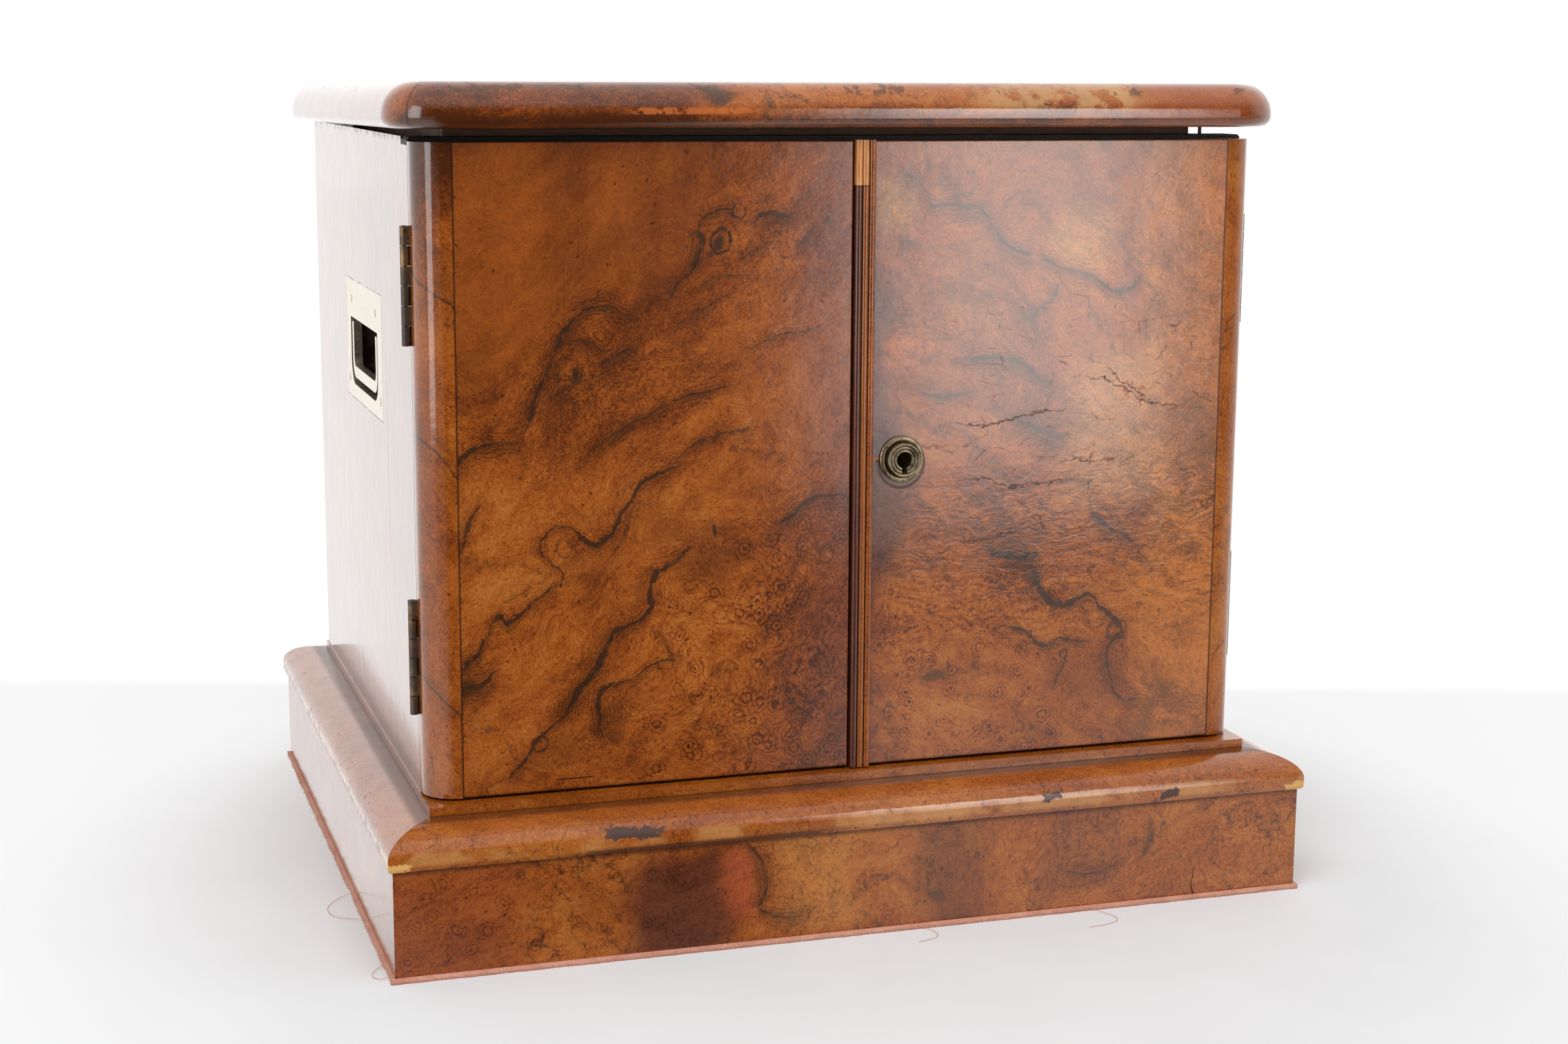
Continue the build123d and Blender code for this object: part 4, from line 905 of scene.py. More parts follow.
def plinth_burr():
    wood = Burr("burr_plinth", (1.0, 0.6, 0.25), (-0.25, 0.0, 1.0), 0.9, 0.085)
    wood.patch((-10.2, -6.2), (-0.5, 4.2), (0.060, 0.016, 0.010), 0.80, 0.9)
    wood.patch((-6.6, -5.6), (1.0, 3.8), (0.32, 0.055, 0.018), 0.60, 0.35)
    wood.patch((-4.2, -0.6), (0.4, 4.4), (0.44, 0.17, 0.030), 0.50, 0.8)
    wood.patch((-20.0, -14.5), (-0.5, 4.8), (0.19, 0.036, 0.009), 0.50, 1.2)
    wood.patch((2.4, 5.2), (0.0, 4.6), DEEP, 0.50, 0.9)
    wood.patch((8.2, 11.4), (1.8, 4.2), (0.16, 0.045, 0.012), 0.50, 0.6)
    wood.pores(0.8)
    wood.vein(((-5.1, 4.3), (-4.6, 3.4), (-4.4, 2.6), (-4.9, 1.6)), 0.13, 0.85, "z", 1.0, (0.05, 0.05))
    wood.vein(((-4.9, 1.7), (-4.2, 1.2), (-3.3, 1.1), (-2.4, 1.4)), 0.13, 0.8, "x", 1.0, (0.05, 0.3))
    wood.vein(((12.2, 4.2), (12.5, 3.3), (12.3, 2.4), (11.6, 1.5)), 0.12, 0.65, "z", 1.0)
    wood.vein(((7.4, 3.2), (8.2, 2.1), (9.6, 1.6), (11.0, 1.9), (12.0, 2.6)), 0.08, 0.65, "x", 0.9)
    wood.vein(((7.6, 1.5), (8.8, 1.1), (10.0, 1.2), (11.4, 1.6)), 0.08, 0.5, "x", 0.9)
    wood.spot((2.9, 1.3), (0.5, 0.35), 0.55)
    wood.smoke((-12.0, 2.6), (1.6, 1.0), 0.5)
    wood.smoke((-16.0, 1.4), (1.4, 1.0), 0.5)
    x = wood.drift[0]
    wood.eyes(x.fall(-9.0, -7.0).highest(x.rise(-3.5, -2.0) * x.fall(0.0, 3.0)), 1.15, 0.9)
    wood.whorl((16.8, 2.5), (2.1, 1.9), 1.0, 5.0)
    wood.whorl((9.8, 3.0), (2.0, 1.4), 0.9, 4.0)
    wood.whorl((-12.8, 2.2), (1.2, 1.2), 0.8, 3.0)
    wood.whorl((-2.2, 2.2), (1.0, 0.9), 0.9, 3.0)
    wood.contours(x.rise(5.0, 8.0), 0.8)
    wood.wild_ink(0.6, 0.009, 0.30)
    wood.line(abs(wood.drawn_parts[0] - 14.5).fall(0.012, 0.05) * wood.z.fall(0.9, 1.5), 0.9)
    # Painted shadow along the plinth's top, under the moulding's nose
    shadow = wood.z.rise(4.15, 4.4)
    wood.line(shadow, 0.55)
    return wood.polished(0.30, 0.8, 0.12)


def moulding_burr():
    """The base moulding, with its chips, bare corners and worn nose."""
    wood = Burr("burr_moulding", (1.0, 0.6, 0.0), (0.0, 0.4, 1.0), 0.8, 0.09)
    wood.pores(0.9)
    wood.wild_ink(0.5, 0.008, 0.33)
    x, _, z = wood.drawn_parts
    ragged = wood.cloud(wood.here, 2.2, 3.0, 0.65)
    front = wood.y.fall(-15.2, -15.0)
    # A painted shadow line where the cove meets its fillet, and dents along the nose
    wood.line(abs(wood.z - 5.93).fall(0.02, 0.07), 0.6)
    nose = wood.z.fall(4.72, 4.92)
    dents = ragged.rise(0.60, 0.66)
    wood.damage_and_painted_shade(dents * nose * 0.8, (0.07, 0.030, 0.018))
    bruised = (x * 0.22 + ragged).between(-2.2, 0.1, 0.25) * wood.z.fall(4.58, 4.72) * front
    wood.damage_and_painted_shade(bruised * 0.75, (0.045, 0.020, 0.013))
    cell = wood.cells(wood.stretch(wood.here, (1.6, 1.0, 0.35)), 1.1, "DISTANCE_TO_EDGE")
    cuts = cell.fall(0.004, 0.014) * ragged.rise(0.50, 0.58)
    wood.line(cuts * wood.z.between(4.9, 5.5, 0.12), 0.8)
    fine_cuts = wood.cloud(wood.stretch(wood.here, (5.0, 1.2, 1.2)), 1.6, 2.0).rise(0.66, 0.70)
    wood.line(fine_cuts * wood.z.fall(5.5, 5.8), 0.55)
    # Rubbed, paler stretches on the crown of the nose
    rubbed = wood.cloud(wood.here, 0.45, 3.0).rise(0.44, 0.60) * wood.z.between(4.65, 5.15, 0.12)
    wood.patches.append((rubbed * 0.50, (0.56, 0.28, 0.095)))
    # Dark chips in the veneer
    for centre, height, reach in ((-9.9, 5.15, 1.25), (7.8, 5.1, 0.55), (13.2, 4.75, 0.5)):
        chip = (abs(x - centre) * (1.0 / reach) + (ragged - 0.5) * 1.2).fall(0.75, 0.85)
        chip = chip * (z + (ragged - 0.5) * 0.5).between(height - 0.17, height + 0.17, 0.03) * front
        wood.damage_and_painted_shade(chip, (0.085, 0.048, 0.040))
    # Bare wood at the corners and along the left nose
    corner = (abs(wood.x) - 18.6 + (ragged - 0.5) * 1.6).rise(0.0, 0.12)
    low = (wood.z + (ragged - 0.5) * 0.7).fall(4.72, 4.80)
    wood.damage_and_painted_shade(corner * low * front, BARE_WOOD)
    side = wood.x.fall(-17.4, -17.2) * (1.0 - front)
    chipped = (ragged * 1.2 + wood.z * 0.5).fall(2.96, 3.02) * side
    wood.damage_and_painted_shade(chipped * 0.75, (0.20, 0.055, 0.020))
    return wood.polished(0.22, 0.9, 0.10)


def lid_burr():
    """The lid's rounded edge and top."""
    wood = Burr("burr_lid", (1.0, 0.8, 0.1), (0.0, 0.5, 1.0), 0.7, 0.0, 1.2)
    x = wood.drawn_parts[0]
    front = wood.y.fall(-14.6, -14.0)
    # Painted light on the front edge: a painted dark reflection on its left part, a painted highlight along
    # its top from the middle rightwards, and painted shade along its bottom
    wood.tone = wood.tone - front * wood.x.fall(-7.5, -3.5) * 0.12
    wood.tone = wood.tone + front * wood.x.rise(-9.0, -2.0) * wood.z.rise(33.0, 33.5) * 0.13
    wood.tone = wood.tone - front * wood.z.fall(32.6, 33.0) * 0.14
    wood.pores(0.7)
    ragged = wood.cloud(wood.here, 1.8, 3.0, 0.65)
    pale = x.between(4.8, 11.6, 0.8) * wood.mottle.rise(0.42, 0.54) * wood.z.rise(32.8, 33.2)
    wood.patches.append((pale * 0.75 * front, (0.46, 0.25, 0.095)))
    warm = x.between(11.6, 17.5, 0.5) * front
    wood.patches.append((warm * 0.40, (0.28, 0.062, 0.016)))
    orange = x.between(-9.5, -4.5, 0.6) * wood.z.between(32.80, 33.05, 0.05) * ragged.rise(0.42, 0.5)
    wood.patches.append((orange * 0.7 * front, (0.50, 0.13, 0.030)))
    wood.wild_ink(0.6, 0.010, 0.34)
    for centre, reach in (((-16.0, 33.75), (0.5, 0.16)), ((-6.0, 33.5), (0.75, 0.55))):
        knot = (wood.away(centre, reach) + wood.ragged * 0.8).fall(0.05, 1.1)
        wood.add_ink(knot * front * 0.7)
    dents = (ragged * wood.cloud(wood.here, 0.5, 1.0)).rise(0.34, 0.37) * wood.z.between(33.5, 34.0, 0.1)
    wood.damage_and_painted_shade(dents * 0.7, (0.09, 0.05, 0.035))
    mitre = abs(abs(wood.x) - abs(wood.y) - 3.25).fall(0.02, 0.06)
    wood.line(mitre * wood.y.fall(-12.9, -12.8), 0.6)
    return wood.polished(0.20, 1.0, 0.09)


def reeded_wood():
    """The astragal, with a length of raw replacement wood let in at its top."""
    wood = Burr("astragal_walnut", (0.0, 0.0, 1.0), (1.0, 0.5, 0.0), 0.4)
    wood.pores(0.6)
    reed = (wood.x + 0.15) * (1.0 / 0.28)
    # Painted shade: the left reed is made dark
    painted_shade_left_reed = reed.fall(0.92, 1.02)
    wood.patches.append((painted_shade_left_reed * 0.80, (0.040, 0.010, 0.010)))
    middle_reed = reed.between(1.0, 2.0, 0.05)
    wood.patches.append((middle_reed * 0.45, (0.26, 0.080, 0.016)))
    # Painted shade in the grooves between the reeds
    wood.line(abs(reed - 1.0).fall(0.03, 0.12).highest(abs(reed - 2.0).fall(0.03, 0.12)), 0.85)
    repair = wood.z.rise(29.98, 30.02) * wood.x.fall(0.40, 0.42)
    grain = wood.cloud(wood.stretch(wood.here, (6.0, 6.0, 0.4)), 2.0, 3.0)
    raw = wood.ramp(grain, (0.35, (0.40, 0.14, 0.034)), (0.62, (0.66, 0.28, 0.085)))
    wood.patches.append((repair, raw))
    seam = abs(wood.z - 30.0).fall(0.02, 0.05) * wood.x.fall(0.40, 0.42)
    wood.line(seam, 0.7)
    return wood.polished(0.20, 0.9, 0.10)


# The plainer woods

def straight_wood(name, dark, light, along, roughness, coat=0.0, scale=1.6):
    """Straight-grained wood, with its rings stretched along one way."""
    wood = Finish(name)
    here = wood.place()
    bent = wood.swirl(here, 0.12, 1.2, 2.0)
    rings = wood.cloud(wood.stretch(bent, along), scale, 4.0, 0.6)
    fibres = wood.cloud(wood.stretch(here, [value * 4.0 for value in along]), scale * 2.0, 3.0, 0.6)
    pores = wood.cloud(wood.stretch(here, [value * 9.0 for value in along]), scale * 3.0, 2.0)
    tone = rings * 0.65 + fibres * 0.35
    colour = wood.ramp(tone, (0.30, dark), (0.68, light))
    colour = wood.mix(pores.rise(0.60, 0.70) * 0.5, colour, tuple(value * 0.4 for value in dark))
    handled = wood.cloud(here, 0.5, 3.0)
    return wood.surface(
        Base_Color=colour,
        Roughness=handled * 0.2 + (roughness - 0.1),
        IOR=1.42,
        Coat_Weight=coat,
        Coat_Roughness=0.18,
        Normal=wood.bump(fibres * 0.06 - pores.rise(0.60, 0.70) * 0.08, 0.6),
    )


def ebonised_wood():
    wood = Finish("ebonised_rim_wood")
    here = wood.place()
    fibres = wood.cloud(wood.stretch(here, (0.4, 4.0, 4.0)), 3.0, 3.0)
    rubbed = wood.cloud(here, 1.4, 4.0, 0.6).rise(0.58, 0.70)
    colour = wood.ramp(fibres, (0.35, (0.008, 0.006, 0.006)), (0.70, (0.022, 0.016, 0.013)))
    colour = wood.mix(rubbed * 0.35, colour, (0.075, 0.040, 0.024))
    return wood.surface(
        Base_Color=colour,
        Roughness=fibres * 0.2 + 0.42,
        IOR=1.35,
        Normal=wood.bump(fibres * 0.06, 0.5),
    )


# Metals

def aged_metal(name, dull, bright, tarnish, spots, roughness, wear=0.5):
    """Brass or bronze with tarnish in patches and specks, and rubbed places that shine."""
    metal = Finish(name)
    here = metal.place()
    patches = metal.cloud(here, 2.2, 5.0, 0.65)
    specks = metal.cloud(here, 14.0, 3.0, 0.6)
    brushed = metal.cloud(metal.stretch(here, (1.0, 8.0, 8.0)), 9.0, 2.0)
    edge = metal.node("ShaderNodeNewGeometry", output=7)
    rubbed = edge.rise(0.50, 0.58) * wear
    colour = metal.ramp(patches, (0.34, dull), (0.62, bright))
    dark = (specks.rise(0.56, 0.68) * 0.6).highest(patches.fall(0.36, 0.46)) * spots
    colour = metal.mix(dark, colour, tarnish)
    colour = metal.mix(rubbed, colour, bright)
    return metal.surface(
        Base_Color=colour,
        Metallic=1.0 - dark * 0.55,
        Roughness=patches * 0.25 + brushed * 0.08 + (roughness - 0.12) + dark * 0.15,
        Normal=metal.bump(specks * 0.03 + brushed * 0.01 - dark * 0.03, 0.6),
    )


def hinge_metal():
    """The hinges: knuckles that are black with old polish next to ones rubbed to brass."""
    metal = Finish("tarnished_hinge_brass")
    here = metal.place()
    x, y, z = metal.split(here)
    patches = metal.cloud(here, 3.0, 5.0, 0.65)
    specks = metal.cloud(here, 16.0, 3.0, 0.6)
    knuckle = metal.cloud(metal.join(x * 0.02, y * 0.02, z), 0.9, 1.0)
    dark = (knuckle * 0.6 + patches * 0.5).rise(0.41, 0.56)
    colour = metal.ramp(patches, (0.35, (0.21, 0.115, 0.055)), (0.62, (0.46, 0.29, 0.15)))
    colour = metal.mix(dark * 0.9, colour, (0.030, 0.022, 0.018))
    return metal.surface(
        Base_Color=colour,
        Metallic=1.0 - dark * 0.7,
        Roughness=specks * 0.2 + 0.32,
        Normal=metal.bump(specks * 0.05 + patches * 0.05, 0.6),
    )


# Felt

def felt_cloth():
    felt = Finish("worn_felt")
    here = felt.place()
    nap = felt.cloud(here, 18.0, 4.0, 0.7)
    rub = felt.cloud(here, 0.8, 4.0, 0.6)
    fibres = felt.cloud(felt.swirl(here, 6.0, 0.15, 2.0), 40.0, 2.0, 0.6)
    tone = nap * 0.45 + rub * 0.35 + fibres * 0.3
    colour = felt.ramp(
        tone,
        (0.38, (0.45, 0.165, 0.115)),
        (0.56, (0.66, 0.31, 0.22)),
        (0.74, (0.80, 0.50, 0.38)),
    )
    return felt.surface(
        Base_Color=colour,
        Roughness=nap * 0.1 + 0.88,
        IOR=1.3,
        Sheen_Weight=0.35,
        Sheen_Roughness=0.5,
        Sheen_Tint=(0.95, 0.75, 0.68),
        Normal=felt.bump(nap * 0.35 + fibres * 0.25, 0.8),
    )


def thread_cloth():
    thread = Finish("loose_thread")
    here = thread.place()
    twist = thread.cloud(here, 25.0, 2.0)
    colour = thread.ramp(twist, (0.35, (0.52, 0.20, 0.13)), (0.65, (0.78, 0.42, 0.30)))
    return thread.surface(
        Base_Color=colour, Roughness=twist * 0.1 + 0.8, Normal=thread.bump(twist * 0.1, 0.5)
    )


# Which finish each CAD node takes

finishes = {
    "left_door_burr": left_door_burr(),
    "right_door_burr": right_door_burr(),
    "stile": stile_burr(),
    "case": case_burr(),
    "plinth": plinth_burr(),
    "moulding": moulding_burr(),
    "lid": lid_burr(),
    "astragal": reeded_wood(),
    "rim": ebonised_wood(),
    "mahogany": straight_wood(
        "polished_mahogany", (0.085, 0.022, 0.012), (0.23, 0.07, 0.03), (0.35, 2.5, 2.5), 0.38, 0.4
    ),
    "pine": straight_wood("bare_pine", (0.36, 0.20, 0.085), (0.58, 0.38, 0.19), (0.3, 2.2, 2.2), 0.62),
    "cedar": straight_wood("bare_cedar", (0.22, 0.080, 0.036), (0.44, 0.19, 0.090), (0.4, 0.4, 3.0), 0.55),
    "flat_cedar": straight_wood(
        "bare_cedar_flat", (0.22, 0.080, 0.036), (0.44, 0.19, 0.090), (0.3, 3.0, 3.0), 0.55
    ),
    "hinge": hinge_metal(),
    "screw": aged_metal(
        "screw_brass",
        (0.30, 0.19, 0.08), (0.58, 0.42, 0.19), (0.035, 0.026, 0.020), 0.8, 0.34,
    ),
    "lock": aged_metal(
        "dull_lock_brass",
        (0.30, 0.205, 0.090), (0.52, 0.39, 0.19), (0.06, 0.045, 0.03), 0.6, 0.36,
    ),
    "nozzle": aged_metal(
        "bronzed_nozzle",
        (0.11, 0.075, 0.045), (0.34, 0.27, 0.17), (0.020, 0.016, 0.013), 0.8, 0.34, 0.8,
    ),
    "handle": aged_metal(
        "pale_handle_brass",
        (0.66, 0.585, 0.47), (0.78, 0.71, 0.60), (0.30, 0.24, 0.18), 0.12, 0.24,
    ),
    "felt": felt_cloth(),
    "thread": thread_cloth(),
}

dressed = {
    "left_door_burr": ["left_door_panel"],
    "right_door_burr": ["right_door_panel"],
    "stile": ["left_door_stile", "right_door_stile"],
    "case": ["case_left_side", "case_right_side", "case_back"],
    "plinth": ["plinth_front", "plinth_back", "plinth_left", "plinth_right"],
    "moulding": ["base_moulding_front", "base_moulding_back", "base_moulding_left", "base_moulding_right"],
    "lid": ["lid_panel", "lid_edge_front", "lid_edge_back", "lid_edge_left", "lid_edge_right"],
    "astragal": ["astragal"],
    "rim": ["front_rim"],
    "mahogany": ["case_bottom", "till_front", "till_floor"],
    "pine": ["plinth_floor", "corner_blocks"],
    "cedar": [
        "till_side_linings", "till_end_linings", "till_dividers", "cupboard_side_linings",
        "cupboard_back_lining",
    ],
    "flat_cedar": ["cupboard_shelves", "lid_lining"],
    "hinge": [
        "door_hinge_case_leaves", "left_door_hinge_leaves", "right_door_hinge_leaves",
        "lid_hinge_case_leaves", "lid_hinge_lid_leaves", "hinge_pins", "lid_rest_posts",
    ],
    "screw": [
        "case_hinge_screws", "left_door_hinge_screws", "right_door_hinge_screws",
        "lid_hinge_screws", "handle_screws",
    ],
    "lock": [
        "lock_case", "lock_cap", "lock_bolt", "strike_plate", "door_bolt_plates",
        "upper_door_bolt", "lower_door_bolt",
    ],
    "nozzle": ["key_nozzle"],
    "handle": ["left_handle_plate", "right_handle_plate", "left_handle_bail", "right_handle_bail"],
}

for finish, names in dressed.items():
    for name in names:
        for place in nodes[name].material_slots:
            place.material = finishes[finish]


# The felt and its loose threads

def new_piece(name, shape, finish, body, smooth=True):
    """Turns a bmesh into a piece that rides on a body."""
    mesh = bpy.data.meshes.new(name)
    if smooth:
        for face in shape.faces:
            face.smooth = True
    shape.to_mesh(mesh)
    shape.free()
    mesh.materials.append(finish)
    piece = bpy.data.objects.new(name, mesh)
    bpy.context.scene.collection.objects.link(piece)
    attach(piece, body)
    return piece


def felt_sheet():
    """A slab of felt whose cut edge is ragged."""
    low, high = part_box("base_felt")
    shape = bmesh.new()
    bmesh.ops.create_grid(shape, x_segments=150, y_segments=130, size=0.5)
    size = (high - low).to_2d()
    bmesh.ops.scale(shape, vec=(size.x, size.y, 1.0), verts=shape.verts)
    middle = (low + high) / 2
    bmesh.ops.translate(shape, vec=(middle.x, middle.y, low.z), verts=shape.verts)
    grown = bmesh.ops.extrude_face_region(shape, geom=shape.faces[:])
    top = [item for item in grown["geom"] if isinstance(item, bmesh.types.BMVert)]
    bmesh.ops.translate(shape, vec=(0, 0, high.z - low.z), verts=top)
    for vert in shape.verts:
        to_edge = min(
            vert.co.x - low.x, high.x - vert.co.x, vert.co.y - low.y, high.y - vert.co.y
        )
        if to_edge > 0.5 * MM:
            continue
        rag = noise.noise(vert.co * 420.0) * 0.35 + noise.noise(vert.co * 90.0) * 0.45
        away = Vector((vert.co.x - middle.x, vert.co.y - middle.y, 0.0))
        side = Vector((math.copysign(1.0, away.x), 0.0, 0.0))
        if abs(away.y) / size.y > abs(away.x) / size.x:
            side = Vector((0.0, math.copysign(1.0, away.y), 0.0))
        vert.co += side * (rag * MM)
    bmesh.ops.recalc_face_normals(shape, faces=shape.faces)
    return new_piece("felt_pad", shape, finishes["felt"], "case")


def thread_piece(name, points, radius=0.11 * MM):
    """A loose thread through points on the floor, in millimetres, as a thin tube."""
    curve = bpy.data.curves.new(name, "CURVE")
    curve.dimensions = "3D"
    curve.bevel_depth = radius
    curve.bevel_resolution = 2
    curve.resolution_u = 10
    curve.use_fill_caps = True
    line = curve.splines.new("NURBS")
    line.points.add(len(points) - 1)
    for point, (x, y, z) in zip(line.points, points):
        point.co = (x * MM, y * MM, z * MM, 1.0)
    line.use_endpoint_u = True
    line.order_u = 3
    drawn = bpy.data.objects.new(name + "_line", curve)
    bpy.context.scene.collection.objects.link(drawn)
    bpy.context.view_layer.update()
    shape = bmesh.new()
    made = drawn.to_mesh()
    shape.from_mesh(made)
    drawn.to_mesh_clear()
    bpy.data.objects.remove(drawn)
    bmesh.ops.remove_doubles(shape, verts=shape.verts, dist=1e-6)
    return new_piece(name, shape, finishes["thread"], "case")


pad = felt_sheet()
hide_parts("base_felt")

loose_threads = {
    "thread_left_corner": (
        (-193.5, -58, 1.2), (-200, -62, 0.8), (-207, -72, 0.5),
        (-206, -84, 0.5), (-199, -90, 0.7), (-193.8, -92, 1.0),
    ),
    "thread_front_right": (
        (97, -166.5, 1.0), (100, -171, 0.6), (104, -177, 0.4),
        (103, -183, 0.4), (96, -186, 0.4), (88, -186.5, 0.4),
    ),
    "thread_front_middle": (
        (22, -167, 0.9), (25, -171, 0.6), (26, -177, 0.4),
        (22, -181, 0.4), (15, -182.5, 0.4),
    ),
    "thread_left_front": (
        (-193.5, -146, 1.2), (-198, -150, 0.6), (-201, -156, 0.4),
        (-198, -162, 0.5), (-194, -160, 1.0),
    ),
}
fringe = [thread_piece(name, points) for name, points in loose_threads.items()]

fuzz_source = random.Random(7)


def edge_fuzz(name, count):
    """Short fibres that stand out of the felt's cut edge."""
    low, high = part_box("base_felt")
    shape = bmesh.new()
    for _ in range(count):
        along_front = fuzz_source.random() < 0.55
        if along_front:
            start = Vector((fuzz_source.uniform(low.x, high.x), low.y, 0.0))
            out = Vector((fuzz_source.uniform(-0.6, 0.6), -1.0, 0.0))
        else:
            start = Vector((fuzz_source.choice((low.x, high.x)), fuzz_source.uniform(low.y, high.y), 0.0))
            out = Vector((math.copysign(1.0, start.x), fuzz_source.uniform(-0.6, 0.6), 0.0))
        start.z = fuzz_source.uniform(0.3, 1.8) * MM
        reach = fuzz_source.uniform(0.5, 1.9) * MM
        out.z = fuzz_source.uniform(-0.3, 0.15)
        fibre = bmesh.ops.create_cone(
            shape, cap_ends=True, segments=4, radius1=0.09 * MM, radius2=0.03 * MM, depth=reach
        )
        out.normalize()
        turn = Vector((0, 0, 1)).rotation_difference(out).to_matrix()
        bmesh.ops.rotate(shape, verts=fibre["verts"], cent=(0, 0, 0), matrix=turn)
        middle = start + out * (reach * 0.35)
        middle.z = max(middle.z, 0.15 * MM)
        bmesh.ops.translate(shape, verts=fibre["verts"], vec=middle)
    for vert in shape.verts:
        vert.co.z = max(vert.co.z, 0.02 * MM)
    return new_piece(name, shape, finishes["thread"], "case", smooth=False)


fringe.append(edge_fuzz("felt_edge_fibres", 900))


# Stage: floor, world, lamps and camera

YAW = math.radians(17.933)
PITCH = math.radians(10.487)
ROLL = math.radians(0.328)
EYE = Vector((-0.32888, -1.06569, 0.34675))
SENSOR_WIDTH = 36.0
FOCAL_SHARE = 3713.4 / 2355.0

# The place along Y round which the floor stays shaded
SHADE_CENTRE = -0.12


def add_camera():
    forward = Vector(
        (math.sin(YAW) * math.cos(PITCH), math.cos(YAW) * math.cos(PITCH), -math.sin(PITCH))
    )
    level = Vector((math.cos(YAW), -math.sin(YAW), 0.0))
    upward = level.cross(forward)
    right = level * math.cos(ROLL) + upward * math.sin(ROLL)
    top = upward * math.cos(ROLL) - level * math.sin(ROLL)
    data = bpy.data.cameras.new("photo_camera")
    data.sensor_fit = "HORIZONTAL"
    data.sensor_width = SENSOR_WIDTH
    data.lens = SENSOR_WIDTH * FOCAL_SHARE
    data.clip_start = 0.01
    data.clip_end = 100.0
    camera = bpy.data.objects.new("photo_camera", data)
    turn = Matrix((right, top, -forward)).transposed()
    camera.matrix_world = Matrix.Translation(EYE) @ turn.to_4x4()
    bpy.context.scene.collection.objects.link(camera)
    bpy.context.scene.camera = camera


def add_floor():
    """A pale floor, which turns to plain white away from the object. In reflections it glows as painted
    light, brighter behind and to the sides than in front.
    """
    shape = bmesh.new()
    bmesh.ops.create_grid(shape, x_segments=1, y_segments=1, size=6.0)
    mesh = bpy.data.meshes.new("floor")
    shape.to_mesh(mesh)
    shape.free()
    floor = bpy.data.objects.new("floor", mesh)
    bpy.context.scene.collection.objects.link(floor)

    paper = Finish("pale_floor")
    x, y, _ = paper.split(paper.node("ShaderNodeTexCoord", output=3))
    away = x * math.sin(YAW) + y * math.cos(YAW)
    behind = away.rise(0.19, 0.26)
    from_front = y - SHADE_CENTRE
    far = ((x * x * 1.4 + from_front * from_front) ** 0.5).rise(0.24, 0.44) * 0.74
    grain = paper.cloud(paper.place(), 0.2, 2.0)
    colour = paper.ramp(grain, (0.3, (0.765, 0.775, 0.785)), (0.7, (0.785, 0.795, 0.805)))
    lit = paper.node("ShaderNodeBsdfDiffuse", sockets={"Color": colour})
    path = paper.node("ShaderNodeLightPath").socket.node.outputs
    camera_ray = Number(paper, path["Is Camera Ray"])
    glossy_ray = Number(paper, path["Is Glossy Ray"])
    seen = camera_ray * behind.highest(far)
    mirrored = glossy_ray
    right_side = (x + y * 0.356).rise(-0.14, -0.02)
    left_side = (y * 0.5 - x).rise(0.0, 0.2)
    bright = y.rise(-0.25, 0.05).highest(right_side).highest(left_side)
    near = y.rise(-0.80, -0.34) * 0.70 + 0.40
    strength = camera_ray + glossy_ray * (bright * 1.05 + 0.015) * near
    white = paper.node("ShaderNodeEmission", sockets={"Color": (1, 1, 1), "Strength": strength})
    both = paper.node("ShaderNodeMixShader", sockets={0: seen.highest(mirrored), 1: lit, 2: white})
    paper.node("ShaderNodeOutputMaterial", sockets={"Surface": both})
    mesh.materials.append(paper.material)


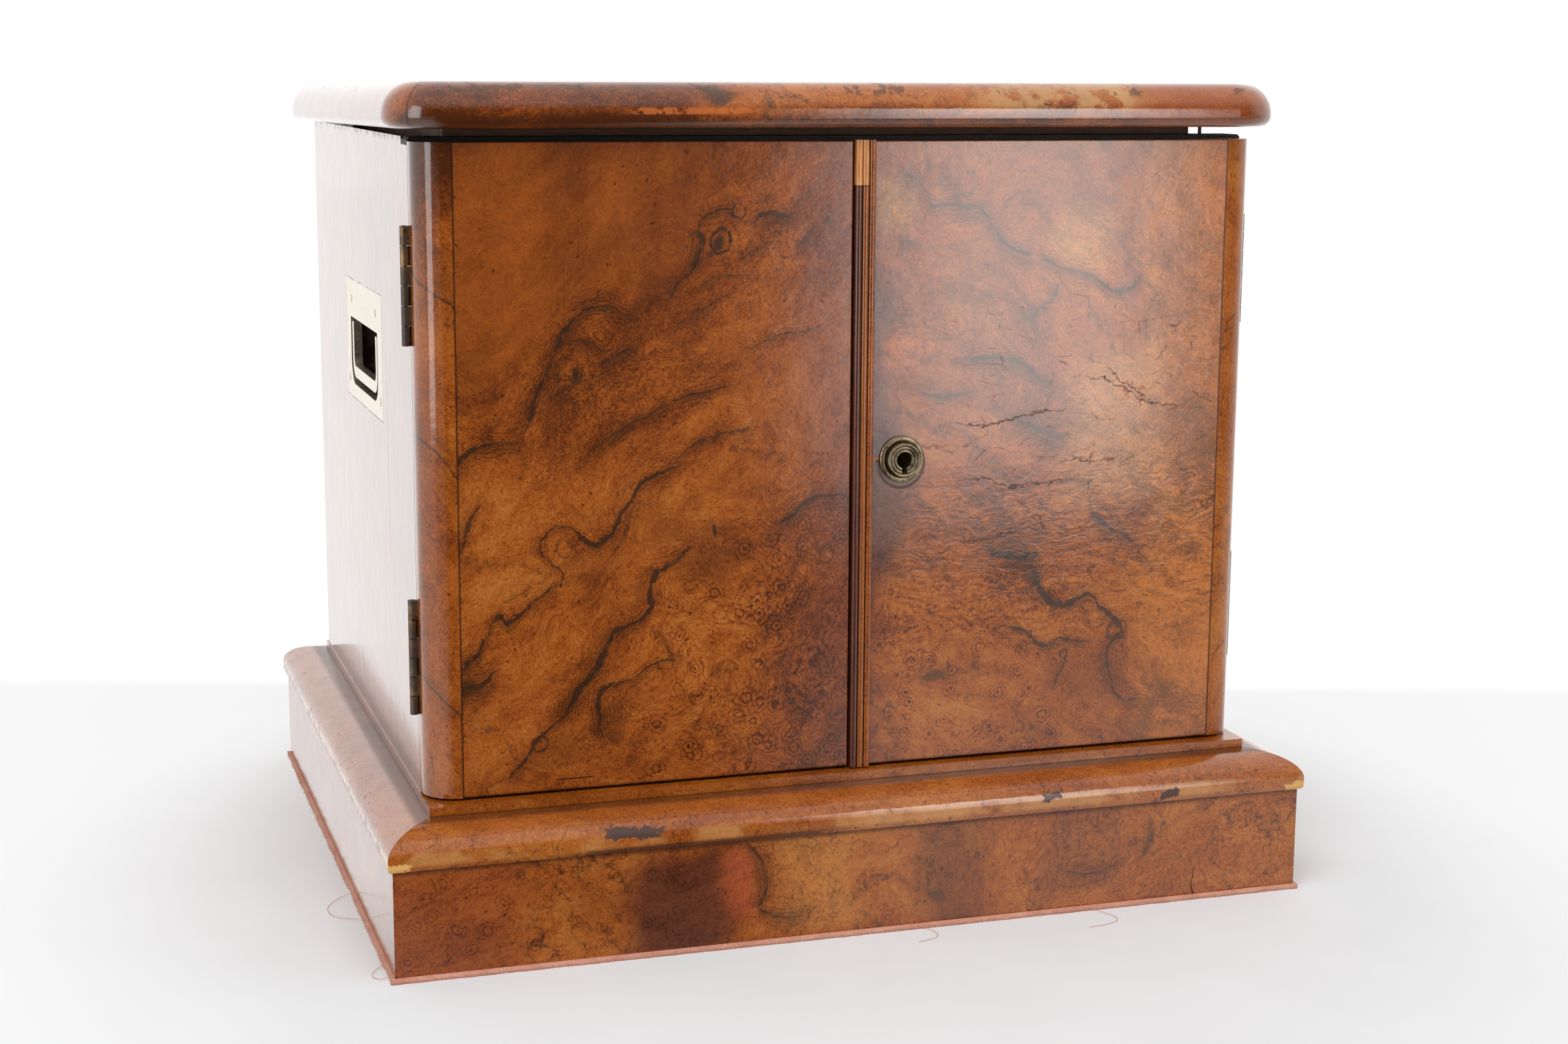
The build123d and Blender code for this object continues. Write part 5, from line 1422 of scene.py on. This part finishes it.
def add_world():
    """White all round for the camera. Polish mirrors a pale room with a dark side in front."""
    world = bpy.data.worlds.new("studio")
    bpy.context.scene.world = world
    world.use_nodes = True
    sky = Finish("studio", world.node_tree)
    _, y, z = sky.split(sky.node("ShaderNodeTexCoord", output=0))
    path = sky.node("ShaderNodeLightPath").socket.node.outputs
    camera_ray = Number(sky, path["Is Camera Ray"])
    mirrored = Number(sky, path["Is Glossy Ray"]).highest(Number(sky, path["Is Transmission Ray"]))
    room = y.rise(-0.80, -0.15).highest(z.rise(0.30, 0.70) * 0.85) * 1.20 + 0.02
    plain = (1.0 - camera_ray.highest(mirrored)) * 0.72
    strength = camera_ray + mirrored * room + plain
    glow = sky.node("ShaderNodeBackground", sockets={"Color": (1, 1, 1), "Strength": strength})
    sky.node("ShaderNodeOutputWorld", sockets={"Surface": glow})


def add_lamp(name, centre, aim, width, height, watts, gloss_only=False, no_gloss=False, fading=False):
    """A soft rectangular lamp. A fading one is brightest at its middle and top."""
    data = bpy.data.lights.new(name, "AREA")
    data.shape = "RECTANGLE"
    data.size = width
    data.size_y = height
    data.energy = watts
    if fading:
        data.use_nodes = True
        cloth = Finish(name, data.node_tree)
        across, up, _ = cloth.split(cloth.node("ShaderNodeNewGeometry", output=5))
        upward = up.rise(0.0, 0.20) * 0.45 + up * 0.35 + 0.22
        glow = across.rise(0.0, 0.48) * across.fall(0.60, 1.0) * upward
        bulb = cloth.node("ShaderNodeEmission", sockets={"Color": (1, 1, 1), "Strength": glow})
        cloth.node("ShaderNodeOutputLight", sockets={"Surface": bulb})
    lamp = bpy.data.objects.new(name, data)
    lamp.location = centre
    lamp.rotation_euler = (Vector(aim) - Vector(centre)).to_track_quat("-Z", "Y").to_euler()
    lamp.visible_camera = False
    lamp.visible_diffuse = not gloss_only
    lamp.visible_glossy = not no_gloss
    bpy.context.scene.collection.objects.link(lamp)


add_camera()
add_floor()
add_world()
add_lamp("overhead_softbox", (-0.35, -1.0, 1.7), (0.0, 0.0, 0.15), 1.5, 1.2, 20.0, no_gloss=True)
add_lamp(
    "right_window", (0.375, -0.86, 0.31), (0.375, -0.14, 0.31), 0.42, 0.62, 6.3, gloss_only=True, fading=True
)
add_lamp(
    "left_strip", (-1.45, -0.78, 0.30), (-0.16, -0.14, 0.22), 0.50, 1.5, 10.0, gloss_only=True
)

bpy.context.scene.view_settings.view_transform = "Standard"
